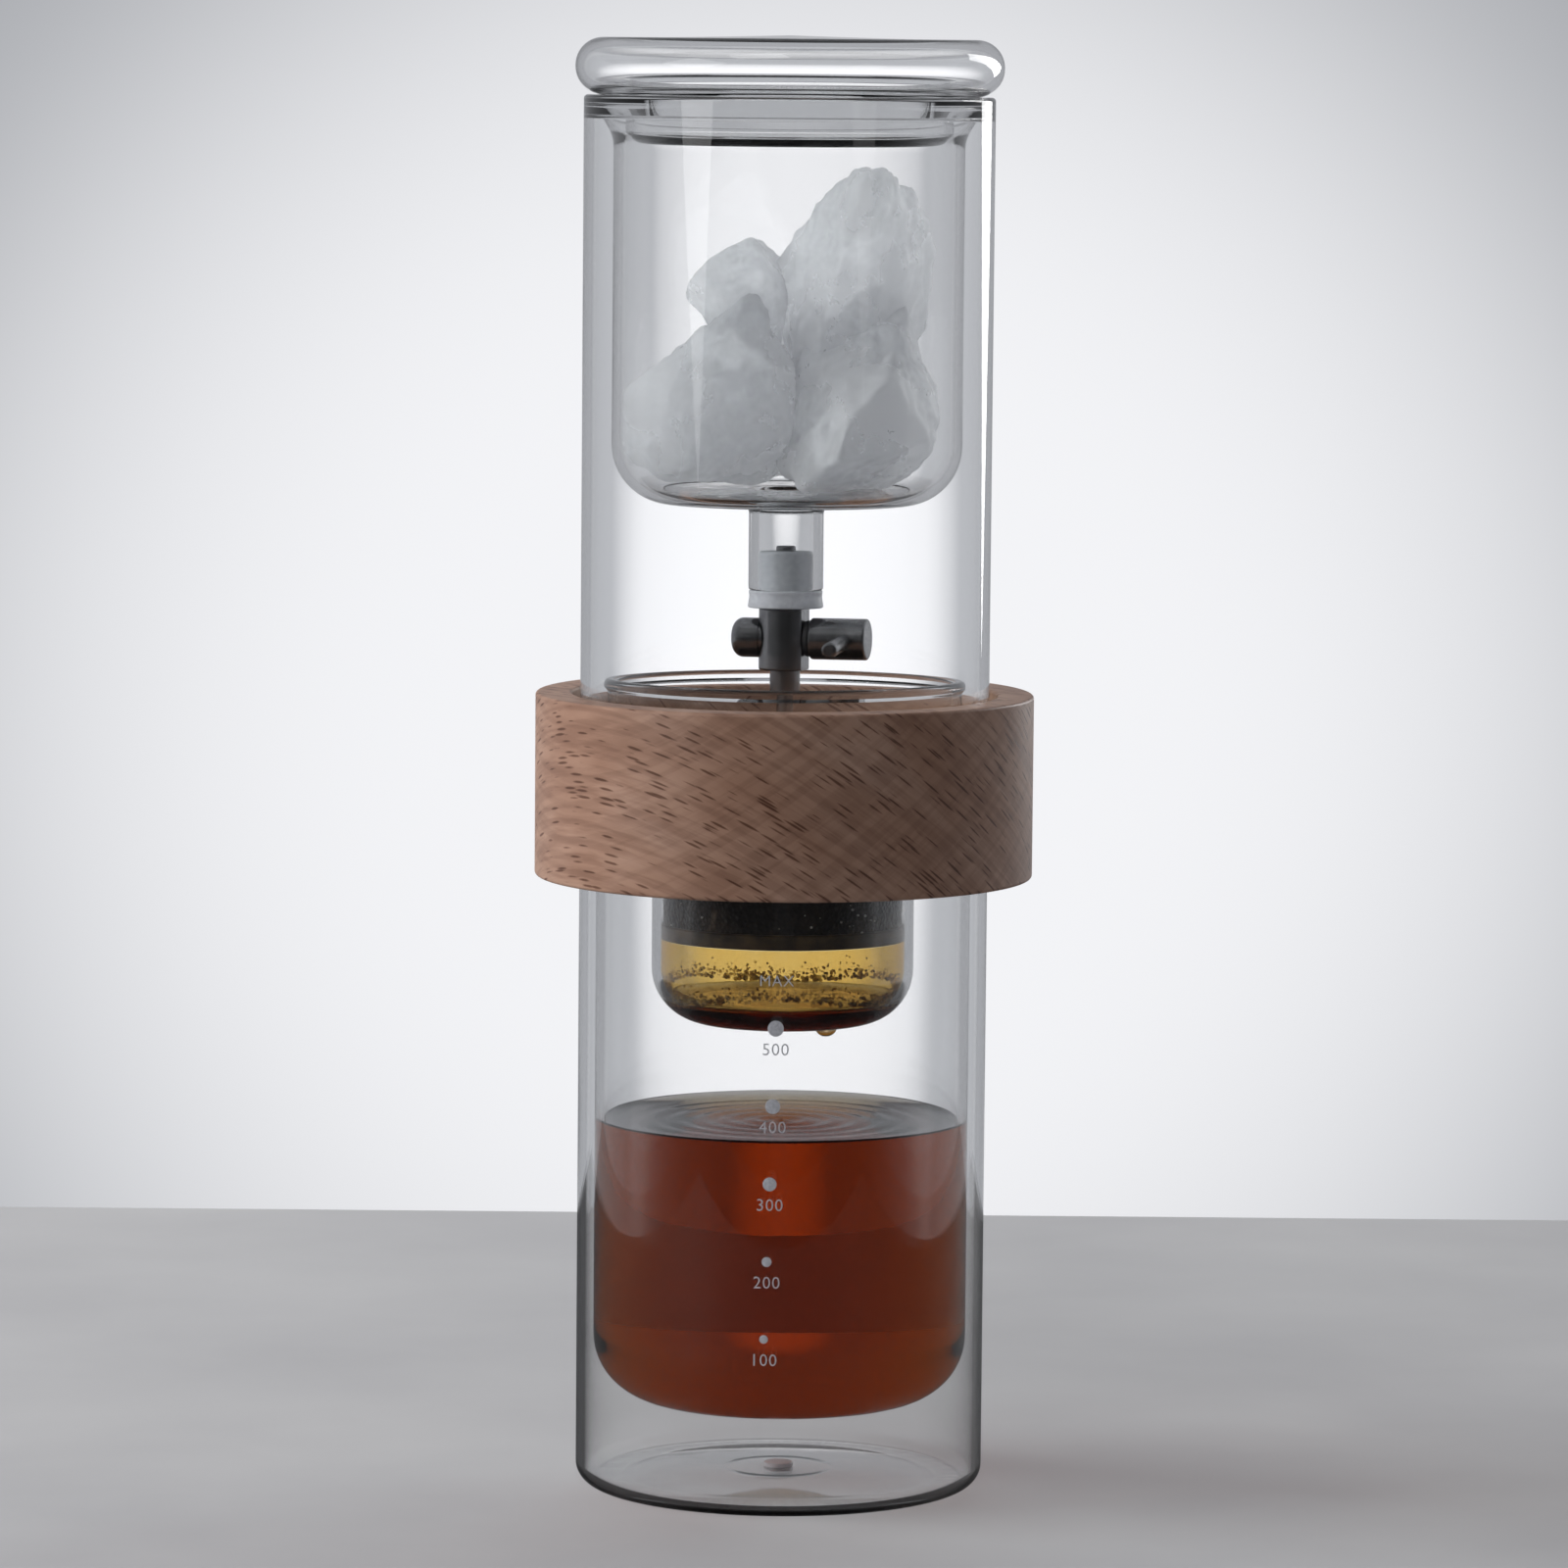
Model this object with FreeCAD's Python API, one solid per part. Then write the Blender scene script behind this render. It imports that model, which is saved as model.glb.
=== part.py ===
import FreeCAD, Part
import math
import os

# Cold drip coffee tower, stacked from the table up: carafe, wooden collar with the drip cup and its
# filter, water chamber with the ice well and the drip valve, lid. All sizes are in millimetres.
# The origin is the middle of the carafe's foot, and +Z points up.

# Carafe: double-walled glass beaker
carafe_diameter = 96.0
carafe_height = 159.6
carafe_wall = 2.0
carafe_gap = 2.0
carafe_base_wall = 2.2
carafe_base_corner = 5.0
carafe_rim_corner = 2.5
dish_rise = 1.6
dish_middle_radius = 12.0
foot_ring_radius = 36.0
dish_blend = 25.0
inner_vessel_lift = 20.3
inner_vessel_corner = 14.0
vent_diameter = 5.0
vent_lip_reach = 1.0
vent_lip_thickness = 1.0
coffee_depth = 64.2

# Wooden collar: its height is the sum of its four steps, and its wall stands outside the wider socket
collar_wall = 8.5
collar_edge = 0.8
carafe_socket_depth = 15.0
collar_web = 6.0
cup_pocket_depth = 14.0
chamber_socket_depth = 8.0
carafe_socket_clearance = 1.0
chamber_socket_clearance = 2.0
cup_pocket_clearance = 1.5
cup_hole_clearance = 2.2

# Drip cup: its rim stands clear inside the chamber, and its shoulder hangs on the collar's web
cup_rim_clearance = 3.5
cup_shoulder_step = 10.7
cup_wall = 2.0
cup_rim_rise = 4.2
cup_rim_bead = 2.8
cup_rim_flare = 0.8
cup_rim_corner = 1.25
cup_drop = 34.6
cup_shoulder_corner = 5.0
cup_waist_corner = 3.0
cup_base_corner = 11.0
drip_hole_diameter = 1.5
drip_ring_radius = 10.6
drip_ring_count = 6
cup_coffee_depth = 4.6

# Filter: perforated plate in a silicone ring, with the grounds on it
filter_lift = 19.6
filter_plate_thickness = 0.8
filter_hole_diameter = 1.2
filter_hole_pitch = 4.2
filter_hole_margin = 3.0
filter_seal_height = 3.6
filter_seal_thickness = 2.2
filter_seal_grip = 0.8
filter_seal_corner = 0.5
filter_running_clearance = 0.06
grounds_depth = 28.0
grounds_clearance = 0.4
grounds_crater = 3.0
grounds_crater_blend = 6.0
grounds_edge_corner = 1.0

# Water chamber: tube, ice well and neck in one piece of glass
chamber_diameter = 96.0
chamber_wall = 2.2
chamber_height = 147.5
chamber_rim_land = 3.4
chamber_rim_corner = 1.0
chamber_foot_corner = 0.6
well_gap = 4.8
well_wall = 2.0
well_lift = 52.9
well_corner = 12.0
well_flare_height = 10.6
well_flare_blend = 7.0
neck_diameter = 17.5
neck_wall = 2.3
neck_length = 19.7
neck_end_corner = 0.7
neck_root_corner = 2.0

# Lid: blown hollow bead with a closed plug
lid_overhang = 2.0
lid_bead_height = 13.3
lid_wall = 1.8
lid_plug_depth = 11.4
lid_plug_corner = 2.4
lid_plug_inner_corner = 1.4
lid_root_corner = 0.8
lid_plug_clearance = 0.7
lid_top_dome = 0.7

# Ice and melt water in the well
ice_piece_size = 10.0
ice_clearance = 0.4
melt_depth = 1.9
ice_rings = 6
ice_sides = 11

# Drip valve: stopper, steel body, outlet and turning plug
valve_turned_to_front = 14.0
stopper_clearance = 0.05
stopper_length = 9.2
stopper_flange_diameter = 17.8
stopper_flange_height = 4.1
stopper_waist = 0.4
inlet_tube_diameter = 4.6
inlet_bore = 2.4
inlet_rise = 1.2
inlet_socket = 2.6
body_diameter = 12.4
body_height = 14.5
body_flat = 4.8
body_edge = 0.5
valve_axis_drop = 7.1
plug_diameter = 6.0
plug_clearance = 0.04
plug_hole = 1.6
cap_diameter = 9.2
cap_length = 6.3
cap_dome = 2.6
cap_thread_depth = 2.2
cap_spot_face = 0.45
cap_wall = 1.1
cap_thread_step = 0.5
knob_diameter = 9.65
knob_length = 13.6
knob_edge = 0.6
knob_gap = 1.5
washer_diameter = 8.4
washer_side_gap = 0.15
lever_diameter = 3.7
lever_length = 19.0
lever_along_knob = 8.7
lever_plug_gap = 0.35
lever_dip = 5.0
lever_screw_depth = 2.2
oring_wire = 1.0
oring_spread = 2.6
clip_thickness = 0.7
clip_reach = 0.3
clip_clearance = 0.1
clip_mouth = 2.4
clip_groove = 0.6
clip_gap = 0.6
spout_diameter = 7.1
spout_length = 5.7
spout_groove = 0.35
spout_groove_height = 0.6
spout_ring_height = 0.9
spout_socket = 2.4
spout_thread_step = 1.0
nozzle_diameter = 3.9
nozzle_length = 6.7
nozzle_bore = 1.8
nozzle_socket = 3.0

# Heights that several pieces share
collar_bottom = carafe_height - carafe_socket_depth
web_top = carafe_height + collar_web
chamber_bottom = web_top + cup_pocket_depth
collar_top = chamber_bottom + chamber_socket_depth
chamber_top = chamber_bottom + chamber_height
well_bottom = chamber_bottom + well_lift
well_floor = well_bottom + well_wall
neck_end = well_bottom - neck_length
body_top = neck_end - stopper_flange_height
body_bottom = body_top - body_height
valve_axis = body_top - valve_axis_drop
spout_end = body_bottom - spout_length
nozzle_end = spout_end - spout_ring_height - nozzle_length
cup_top = collar_top + cup_rim_rise
cup_bottom = collar_bottom - cup_drop
cup_floor = cup_bottom + cup_wall
filter_bottom = cup_floor + filter_lift
filter_top = filter_bottom + filter_plate_thickness

# Radii that several pieces share
carafe_radius = carafe_diameter / 2
inner_vessel_radius = carafe_radius - carafe_wall - carafe_gap
carafe_bore = inner_vessel_radius - carafe_wall
chamber_radius = chamber_diameter / 2
cup_bowl_radius = chamber_radius - chamber_wall - cup_rim_clearance - cup_rim_flare
cup_body_radius = cup_bowl_radius - cup_shoulder_step
cup_bore = cup_body_radius - cup_wall
filter_seal_inner = cup_bore - filter_running_clearance - filter_seal_thickness
well_radius = chamber_radius - chamber_wall - well_gap
well_bore = well_radius - well_wall
neck_bore = neck_diameter / 2 - neck_wall
body_radius = body_diameter / 2
plug_radius = plug_diameter / 2
spout_seat_radius = spout_diameter / 2 - spout_thread_step

# Places along the valve's plug, from the tower's axis to the right
knob_start = body_flat + knob_gap
lever_place = knob_start + lever_along_knob
plug_end = lever_place - lever_diameter / 2 - lever_plug_gap

ORIGIN = FreeCAD.Vector(0, 0, 0)
UP = FreeCAD.Vector(0, 0, 1)
ALONG = FreeCAD.Vector(1, 0, 0)
SMALLEST_EDGE = 1e-6


def outline(points):
    """Closed wire in the XZ plane through (x, z) or (x, z, corner) points. A corner is an arc's radius."""
    spots = [FreeCAD.Vector(point[0], 0, point[1]) for point in points]
    starts = []
    arcs = []
    ends = []
    for index, point in enumerate(points):
        here = spots[index]
        if len(point) < 3:
            starts.append(here)
            arcs.append(None)
            ends.append(here)
            continue
        corner = point[2]
        back = (spots[index - 1] - here).normalize()
        ahead = (spots[(index + 1) % len(points)] - here).normalize()
        half_angle = back.getAngle(ahead) / 2
        reach = corner / math.tan(half_angle)
        inset = corner / math.sin(half_angle) - corner
        middle = here + (back + ahead).normalize() * inset
        starts.append(here + back * reach)
        ends.append(here + ahead * reach)
        arcs.append(Part.Arc(starts[-1], middle, ends[-1]).toShape())
    edges = []
    for index in range(len(points)):
        if arcs[index] is not None:
            edges.append(arcs[index])
        leave = ends[index]
        arrive = starts[(index + 1) % len(points)]
        if leave.distanceToPoint(arrive) > SMALLEST_EDGE:
            edges.append(Part.LineSegment(leave, arrive).toShape())
    return Part.Wire(edges)


def turned(points):
    """Solid of an outline in the XZ plane turned all the way round Z."""
    solid = Part.Face(outline(points)).revolve(ORIGIN, UP, 360)
    if solid.Volume < 0:
        solid.reverse()
    return solid


def turned_across(points):
    """Solid of an outline, as (distance along the valve's plug, radius), turned round the plug's axis."""
    solid = Part.Face(outline(points)).revolve(ORIGIN, ALONG, 360)
    if solid.Volume < 0:
        solid.reverse()
    return solid


def rod(radius, low, high, x=0.0, y=0.0):
    """Upright round rod between two heights."""
    return Part.makeCylinder(radius, high - low, FreeCAD.Vector(x, y, low), UP)


def seated_valve_piece(shape):
    """Takes a piece made round the plug's own axis to its height in the tower and turns it to the front."""
    placed = shape.copy()
    placed.translate(FreeCAD.Vector(0, 0, valve_axis))
    placed.rotate(ORIGIN, UP, -valve_turned_to_front)
    return placed


def save(name, shape):
    """Writes one node."""
    shape.exportStep("parts/" + name + ".step")


# Carafe

def carafe_glass():
    """Outer and inner vessel fused at the rim, with a vent hole in the middle of the dished base."""
    rim_floor = carafe_height - carafe_wall - carafe_rim_corner
    glass = turned([
        (0, dish_rise),
        (dish_middle_radius, dish_rise, dish_blend),
        (foot_ring_radius, 0, dish_blend),
        (carafe_radius, 0, carafe_base_corner),
        (carafe_radius, carafe_height, carafe_rim_corner),
        (carafe_bore, carafe_height, carafe_rim_corner),
        (carafe_bore, inner_vessel_lift + carafe_wall, inner_vessel_corner),
        (0, inner_vessel_lift + carafe_wall),
    ])
    gap = turned([
        (0, dish_rise + carafe_base_wall),
        (dish_middle_radius, dish_rise + carafe_base_wall, dish_blend),
        (foot_ring_radius, carafe_base_wall, dish_blend),
        (carafe_radius - carafe_wall, carafe_base_wall, carafe_base_corner - carafe_wall),
        (carafe_radius - carafe_wall, rim_floor, carafe_gap / 2),
        (inner_vessel_radius, rim_floor, carafe_gap / 2),
        (inner_vessel_radius, inner_vessel_lift, inner_vessel_corner + carafe_wall),
        (0, inner_vessel_lift),
    ])
    vent = rod(vent_diameter / 2, 0, inner_vessel_lift / 2)
    return glass.cut(gap).cut(vent)


def carafe_vent_plug():
    """Silicone plug, buttoned into the vent with a lip on each side of the base."""
    hole = vent_diameter / 2
    lip = hole + vent_lip_reach
    wall_top = dish_rise + carafe_base_wall
    round_off = vent_lip_thickness * 0.4
    return turned([
        (0, dish_rise - vent_lip_thickness),
        (lip, dish_rise - vent_lip_thickness, round_off),
        (lip, dish_rise),
        (hole, dish_rise),
        (hole, wall_top),
        (lip, wall_top),
        (lip, wall_top + vent_lip_thickness, round_off),
        (0, wall_top + vent_lip_thickness),
    ])


def brewed_coffee():
    """Coffee that fills the inner vessel to its level."""
    floor = inner_vessel_lift + carafe_wall
    return turned([
        (0, floor),
        (carafe_bore, floor, inner_vessel_corner),
        (carafe_bore, floor + coffee_depth),
        (0, floor + coffee_depth),
    ])


# Collar

def wooden_collar():
    """Turned ring: socket for the carafe, web for the cup, pocket for the bowl and socket for the chamber."""
    carafe_socket = carafe_radius + carafe_socket_clearance
    cup_hole = cup_body_radius + cup_hole_clearance
    cup_pocket = cup_bowl_radius + cup_pocket_clearance
    chamber_socket = chamber_radius + chamber_socket_clearance
    outer = max(carafe_socket, chamber_socket) + collar_wall
    return turned([
        (outer, collar_bottom, collar_edge),
        (outer, collar_top, collar_edge),
        (chamber_socket, collar_top, collar_edge),
        (chamber_socket, chamber_bottom),
        (cup_pocket, chamber_bottom, collar_edge),
        (cup_pocket, web_top),
        (cup_hole, web_top, collar_edge),
        (cup_hole, carafe_height, collar_edge),
        (carafe_socket, carafe_height),
        (carafe_socket, collar_bottom, collar_edge),
    ])


# Drip cup

def drip_cup_glass():
    """Stepped glass cup with a rolled rim and drip holes in its floor."""
    rim_radius = cup_bowl_radius + cup_rim_flare
    bead_foot = cup_top - cup_rim_bead
    glass = turned([
        (0, cup_bottom),
        (cup_body_radius, cup_bottom, cup_base_corner + cup_wall),
        (cup_body_radius, web_top, cup_waist_corner),
        (cup_bowl_radius, web_top, cup_shoulder_corner),
        (cup_bowl_radius, bead_foot),
        (rim_radius, bead_foot + cup_rim_flare),
        (rim_radius, cup_top, cup_rim_corner),
        (cup_bowl_radius - cup_wall, cup_top, cup_rim_corner),
        (cup_bowl_radius - cup_wall, web_top + cup_wall, cup_shoulder_corner - cup_wall),
        (cup_bore, web_top + cup_wall, cup_waist_corner + cup_wall),
        (cup_bore, cup_floor, cup_base_corner),
        (0, cup_floor),
    ])
    holes = [rod(drip_hole_diameter / 2, cup_bottom - 1, cup_floor + 1)]
    for number in range(drip_ring_count):
        angle = 2 * math.pi * number / drip_ring_count
        x = drip_ring_radius * math.cos(angle)
        y = drip_ring_radius * math.sin(angle)
        holes.append(rod(drip_hole_diameter / 2, cup_bottom - 1, cup_floor + 1, x, y))
    return glass.cut(holes)


def cup_coffee():
    """Shallow pool that has run through the filter."""
    level = cup_floor + cup_coffee_depth
    fill = turned([
        (0, cup_floor),
        (cup_bore, cup_floor, cup_base_corner),
        (cup_bore, cup_top),
        (0, cup_top),
    ])
    return fill.common(rod(cup_body_radius, cup_floor, level))


# Filter and grounds

def filter_plate():
    """Round plate with rings of small holes."""
    plate = rod(filter_seal_inner + filter_seal_grip, filter_bottom, filter_top)
    rings = int((filter_seal_inner - filter_hole_margin) / filter_hole_pitch)
    holes = [rod(filter_hole_diameter / 2, filter_bottom - 1, filter_top + 1)]
    for ring in range(1, rings + 1):
        count = 6 * ring
        for number in range(count):
            angle = 2 * math.pi * number / count
            x = ring * filter_hole_pitch * math.cos(angle)
            y = ring * filter_hole_pitch * math.sin(angle)
            holes.append(rod(filter_hole_diameter / 2, filter_bottom - 1, filter_top + 1, x, y))
    return plate.cut(holes)


def filter_seal():
    """Silicone ring that grips the plate's edge in a groove and rubs on the cup's wall."""
    outer = cup_bore - filter_running_clearance
    inner = filter_seal_inner
    groove = inner + filter_seal_grip
    spare = (filter_seal_height - filter_plate_thickness) / 2
    return turned([
        (outer, filter_bottom - spare, filter_seal_corner),
        (outer, filter_top + spare, filter_seal_corner),
        (inner, filter_top + spare, filter_seal_corner),
        (inner, filter_top),
        (groove, filter_top),
        (groove, filter_bottom),
        (inner, filter_bottom),
        (inner, filter_bottom - spare, filter_seal_corner),
    ])


def coffee_grounds():
    """Bed of wet grounds on the plate, with a shallow crater where the drops fall."""
    bed = cup_bore - grounds_clearance
    seal_top = filter_top + (filter_seal_height - filter_plate_thickness) / 2
    bed_top = filter_top + grounds_depth
    return turned([
        (0, filter_top),
        (filter_seal_inner, filter_top),
        (filter_seal_inner, seal_top),
        (bed, seal_top),
        (bed, bed_top, grounds_edge_corner),
        (bed * 0.62, bed_top, grounds_crater_blend),
        (bed * 0.2, bed_top - grounds_crater, grounds_crater_blend),
        (0, bed_top - grounds_crater),
    ])


# Water chamber

def chamber_glass():
    """Tube that stands in the collar, ice well hung inside it from the rim, and the neck under the well."""
    tube_bore = chamber_radius - chamber_wall
    flare_foot = chamber_top - well_flare_height
    return turned([
        (chamber_radius, chamber_bottom, chamber_foot_corner),
        (chamber_radius, chamber_top, chamber_rim_corner),
        (chamber_radius - chamber_rim_land, chamber_top, chamber_rim_corner),
        (well_bore, flare_foot, well_flare_blend),
        (well_bore, well_floor, well_corner),
        (neck_bore, well_floor, neck_root_corner),
        (neck_bore, neck_end, neck_end_corner),
        (neck_diameter / 2, neck_end, neck_end_corner),
        (neck_diameter / 2, well_bottom, neck_root_corner),
        (well_radius, well_bottom, well_corner + well_wall),
        (well_radius, flare_foot + well_wall / 2, well_flare_blend + well_wall),
        (tube_bore, chamber_top - chamber_wall, chamber_rim_corner),
        (tube_bore, chamber_bottom, chamber_foot_corner),
    ])


def well_space(clearance):
    """Inside of the ice well, drawn in from the glass by a clearance on all sides."""
    return turned([
        (0, well_floor + clearance),
        (well_bore - clearance, well_floor + clearance, well_corner),
        (well_bore - clearance, chamber_top - lid_plug_depth - clearance),
        (0, chamber_top - lid_plug_depth - clearance),
    ])


def ice_lump(middle, half_size, phase):
    """Faceted lump: rings of corners on an egg whose radius swells and dips with both angles."""
    def corner(ring, side):
        tilt = math.pi * ring / ice_rings
        turn = 2 * math.pi * (side + 0.5 * (ring % 2)) / ice_sides
        swell = 1 + 0.09 * math.sin(2 * turn + phase) + 0.06 * math.sin(3 * turn + 4 * tilt + 2 * phase)
        swell += 0.05 * math.cos(5 * turn - 3 * tilt + 3 * phase)
        x = half_size[0] * swell * math.sin(tilt) * math.cos(turn)
        y = half_size[1] * swell * math.sin(tilt) * math.sin(turn)
        z = half_size[2] * swell * math.cos(tilt)
        return FreeCAD.Vector(middle[0] + x, middle[1] + y, middle[2] + z)

    top = FreeCAD.Vector(middle[0], middle[1], middle[2] + half_size[2])
    bottom = FreeCAD.Vector(middle[0], middle[1], middle[2] - half_size[2])
    faces = []

    def facet(a, b, c):
        faces.append(Part.Face(Part.makePolygon([a, b, c, a])))

    for side in range(ice_sides):
        facet(top, corner(1, side), corner(1, side + 1))
        facet(bottom, corner(ice_rings - 1, side + 1), corner(ice_rings - 1, side))
        for ring in range(1, ice_rings - 1):
            lean = ring % 2
            upper = corner(ring, side)
            upper_next = corner(ring, side + 1)
            lower = corner(ring + 1, side)
            lower_next = corner(ring + 1, side + 1)
            if lean:
                facet(upper, lower, lower_next)
                facet(upper, lower_next, upper_next)
            else:
                facet(upper, lower, upper_next)
                facet(upper_next, lower, lower_next)
    solid = Part.Solid(Part.Shell(faces))
    if solid.Volume < 0:
        solid.reverse()
    return solid


def ice_pile():
    """Lumps of the pile by name, each cut clear of the ones placed before it. Middles, counted from the
    well's floor, and half sizes are in pieces' sizes."""
    lumps = [
        ("ice_front_left", (-1.60, -0.60, 1.85), (1.75, 2.10, 2.10), 0.4),
        ("ice_front_right", (1.55, -0.50, 1.95), (2.05, 2.20, 2.25), 1.9),
        ("ice_back", (-0.10, 2.00, 1.65), (2.40, 1.70, 1.95), 3.1),
        ("ice_round", (-1.15, 0.10, 4.70), (1.15, 1.20, 1.25), 4.4),
        ("ice_peak", (1.50, 0.50, 4.45), (1.85, 1.90, 2.65), 5.2),
    ]
    space = well_space(ice_clearance)
    placed = []
    for name, middle, half_size, phase in lumps:
        lump = ice_lump(middle, half_size, phase)
        lump.scale(ice_piece_size)
        lump.translate(FreeCAD.Vector(0, 0, well_floor))
        lump = lump.common(space)
        for other_name, other in placed:
            lump = lump.cut(other)
        placed.append((name, largest_solid(lump)))
    return placed


def largest_solid(shape):
    """The main solid of a shape that a cut may have left in several."""
    return max(shape.Solids, key=lambda solid: solid.Volume)


def melt_water(pile):
    """Film of water on the well's floor, round the feet of the ice and over the neck's mouth."""
    film = well_space(0.0).common(rod(well_radius, well_floor, well_floor + melt_depth))
    film = film.cut(rod(neck_bore + neck_root_corner, well_floor, well_floor + melt_depth))
    for name, lump in pile:
        film = film.cut(lump)
    return largest_solid(film)


# Lid

def lid_glass():
    """Hollow lid: fully rounded bead over the chamber's rim and a flat-bottomed plug in the well."""
    plug_radius_outer = well_bore - lid_plug_clearance
    plug_bottom = chamber_top - lid_plug_depth
    lid_top = chamber_top + lid_bead_height
    bead = lid_bead_height / 2
    radius = chamber_radius + lid_overhang
    shell = turned([
        (0, plug_bottom),
        (plug_radius_outer, plug_bottom, lid_plug_corner),
        (plug_radius_outer, chamber_top, lid_root_corner),
        (radius, chamber_top, bead * 0.98),
        (radius, lid_top, bead * 0.98),
        (radius * 0.6, lid_top, radius),
        (0, lid_top + lid_top_dome),
    ])
    hollow = turned([
        (0, plug_bottom + lid_wall),
        (plug_radius_outer - lid_wall, plug_bottom + lid_wall, lid_plug_inner_corner),
        (plug_radius_outer - lid_wall, chamber_top + lid_wall, lid_root_corner + lid_wall),
        (radius - lid_wall, chamber_top + lid_wall, (bead - lid_wall) * 0.98),
        (radius - lid_wall, lid_top - lid_wall, (bead - lid_wall) * 0.98),
        (radius * 0.6, lid_top - lid_wall, radius),
        (0, lid_top + lid_top_dome - lid_wall),
    ])
    return shell.cut(hollow)


# Drip valve

def valve_stopper():
    """Silicone stopper in the neck, with a waisted flange under the neck's end."""
    shank = neck_bore - stopper_clearance
    flange = stopper_flange_diameter / 2
    waist = flange - stopper_waist
    bore = inlet_tube_diameter / 2
    return turned([
        (bore, body_top),
        (flange, body_top, 0.4),
        (waist, neck_end - stopper_flange_height / 3, 2.0),
        (flange - stopper_waist / 2, neck_end, 0.4),
        (shank, neck_end),
        (shank, neck_end + stopper_length, 0.8),
        (bore, neck_end + stopper_length),
    ])


def inlet_tube():
    """Steel tube screwed into the top of the body, through the stopper."""
    outer = inlet_tube_diameter / 2
    top = neck_end + stopper_length + inlet_rise
    return turned([
        (inlet_bore / 2, body_top - inlet_socket),
        (outer, body_top - inlet_socket),
        (outer, top, 0.4),
        (inlet_bore / 2, top, 0.4),
    ])


def valve_body():
    """Upright steel body with a flat for the knob's side, bored along and across."""
    body = turned([
        (0, body_bottom),
        (body_radius, body_bottom, body_edge),
        (body_radius, body_top, body_edge),
        (0, body_top),
    ])
    body.translate(FreeCAD.Vector(0, 0, -valve_axis))
    side = Part.makeBox(body_diameter, 2 * body_diameter, 2 * body_height)
    side.translate(FreeCAD.Vector(body_flat, -body_diameter, -body_height))
    cross_bore = Part.makeCylinder(plug_radius + plug_clearance, 2 * body_diameter,
                                   FreeCAD.Vector(-body_diameter, 0, 0), ALONG)
    cap_seat = Part.makeCylinder(cap_diameter / 2 - cap_thread_step, body_diameter,
                                 FreeCAD.Vector(-body_radius + cap_thread_depth - body_diameter, 0, 0), ALONG)
    spot_face = Part.makeCylinder(cap_diameter / 2, body_diameter,
                                  FreeCAD.Vector(-body_radius + cap_spot_face - body_diameter, 0, 0), ALONG)
    inlet_seat = rod(inlet_tube_diameter / 2, body_top - inlet_socket, body_top + 1)
    waterway = rod(inlet_bore / 2, body_bottom, body_top)
    spout_seat = rod(spout_seat_radius, body_bottom - 1, body_bottom + spout_socket)
    for upright in (inlet_seat, waterway, spout_seat):
        upright.translate(FreeCAD.Vector(0, 0, -valve_axis))
    body = body.cut([side, cross_bore, cap_seat, spot_face, inlet_seat, waterway, spout_seat])
    return seated_valve_piece(body)


def valve_cap():
    """Domed cap screwed into the left end of the cross bore."""
    start = -body_radius + cap_thread_depth
    shoulder = -body_radius + cap_spot_face
    tip = -body_radius - cap_length
    outer = cap_diameter / 2
    thread = outer - cap_thread_step
    hollow = plug_radius + clip_reach + clip_clearance
    return seated_valve_piece(turned_across([
        (start, hollow),
        (start, thread),
        (shoulder, thread),
        (shoulder, outer),
        (tip, outer, cap_dome),
        (tip, 0),
        (tip + cap_wall * 2, 0),
        (tip + cap_wall * 2, hollow, cap_wall / 2),
    ]))


def valve_plug():
    """Turning plug: cross hole for the water, two grooves for the O-rings and one for the clip."""
    left = -body_radius - cap_length / 2
    plug = Part.makeCylinder(plug_radius, plug_end - left, FreeCAD.Vector(left, 0, 0), ALONG)
    for centre in (-oring_spread, oring_spread):
        plug = plug.cut(plug_groove(centre - oring_wire / 2, oring_wire, oring_wire))
    plug = plug.cut(plug_groove(clip_start(), clip_thickness, clip_groove))
    cross = Part.makeCylinder(plug_hole / 2, 2 * plug_diameter, FreeCAD.Vector(0, plug_diameter, 0),
                              FreeCAD.Vector(0, -1, 0))
    cross.rotate(ORIGIN, ALONG, lever_dip)
    return seated_valve_piece(plug.cut(cross))


def plug_groove(start, width, depth):
    """Ring of steel that a groove takes out of the plug."""
    place = FreeCAD.Vector(start, 0, 0)
    ring = Part.makeCylinder(plug_radius + 1, width, place, ALONG)
    return ring.cut(Part.makeCylinder(plug_radius - depth, width, place, ALONG))


def clip_start():
    """Place along the plug of the clip's outer face, just clear of the body's cap seat."""
    return -body_radius + cap_thread_depth - clip_gap - clip_thickness


def plug_clip():
    """Split ring in the plug's left groove."""
    place = clip_start()
    ring = Part.makeCylinder(plug_radius + clip_reach, clip_thickness, FreeCAD.Vector(place, 0, 0), ALONG)
    core = Part.makeCylinder(plug_radius - clip_groove, clip_thickness, FreeCAD.Vector(place, 0, 0), ALONG)
    slit = Part.makeBox(clip_thickness, plug_diameter, clip_mouth, FreeCAD.Vector(place, 0, -clip_mouth / 2))
    return seated_valve_piece(ring.cut([core, slit]))


def plug_orings():
    """Two O-rings in the plug's grooves, one on each side of the cross hole."""
    rings = []
    wire = oring_wire / 2
    for centre in (-oring_spread, oring_spread):
        middle = plug_radius - wire
        rings.append(Part.makeTorus(middle, wire * 0.9, FreeCAD.Vector(centre, 0, 0), ALONG))
    return seated_valve_piece(Part.makeCompound(rings))


def stem_washer():
    """Rubber washer on the plug, between the body's flat and the knob."""
    start = body_flat + washer_side_gap
    end = knob_start
    outer = washer_diameter / 2
    return seated_valve_piece(turned_across([
        (start, plug_radius),
        (start, outer, 0.5),
        (end, outer, 0.5),
        (end, plug_radius),
    ]))


def lever_axis_turned(shape):
    """Turns a piece made along -Y to the lever's dip."""
    shape.rotate(ORIGIN, ALONG, lever_dip)
    return shape


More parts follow.
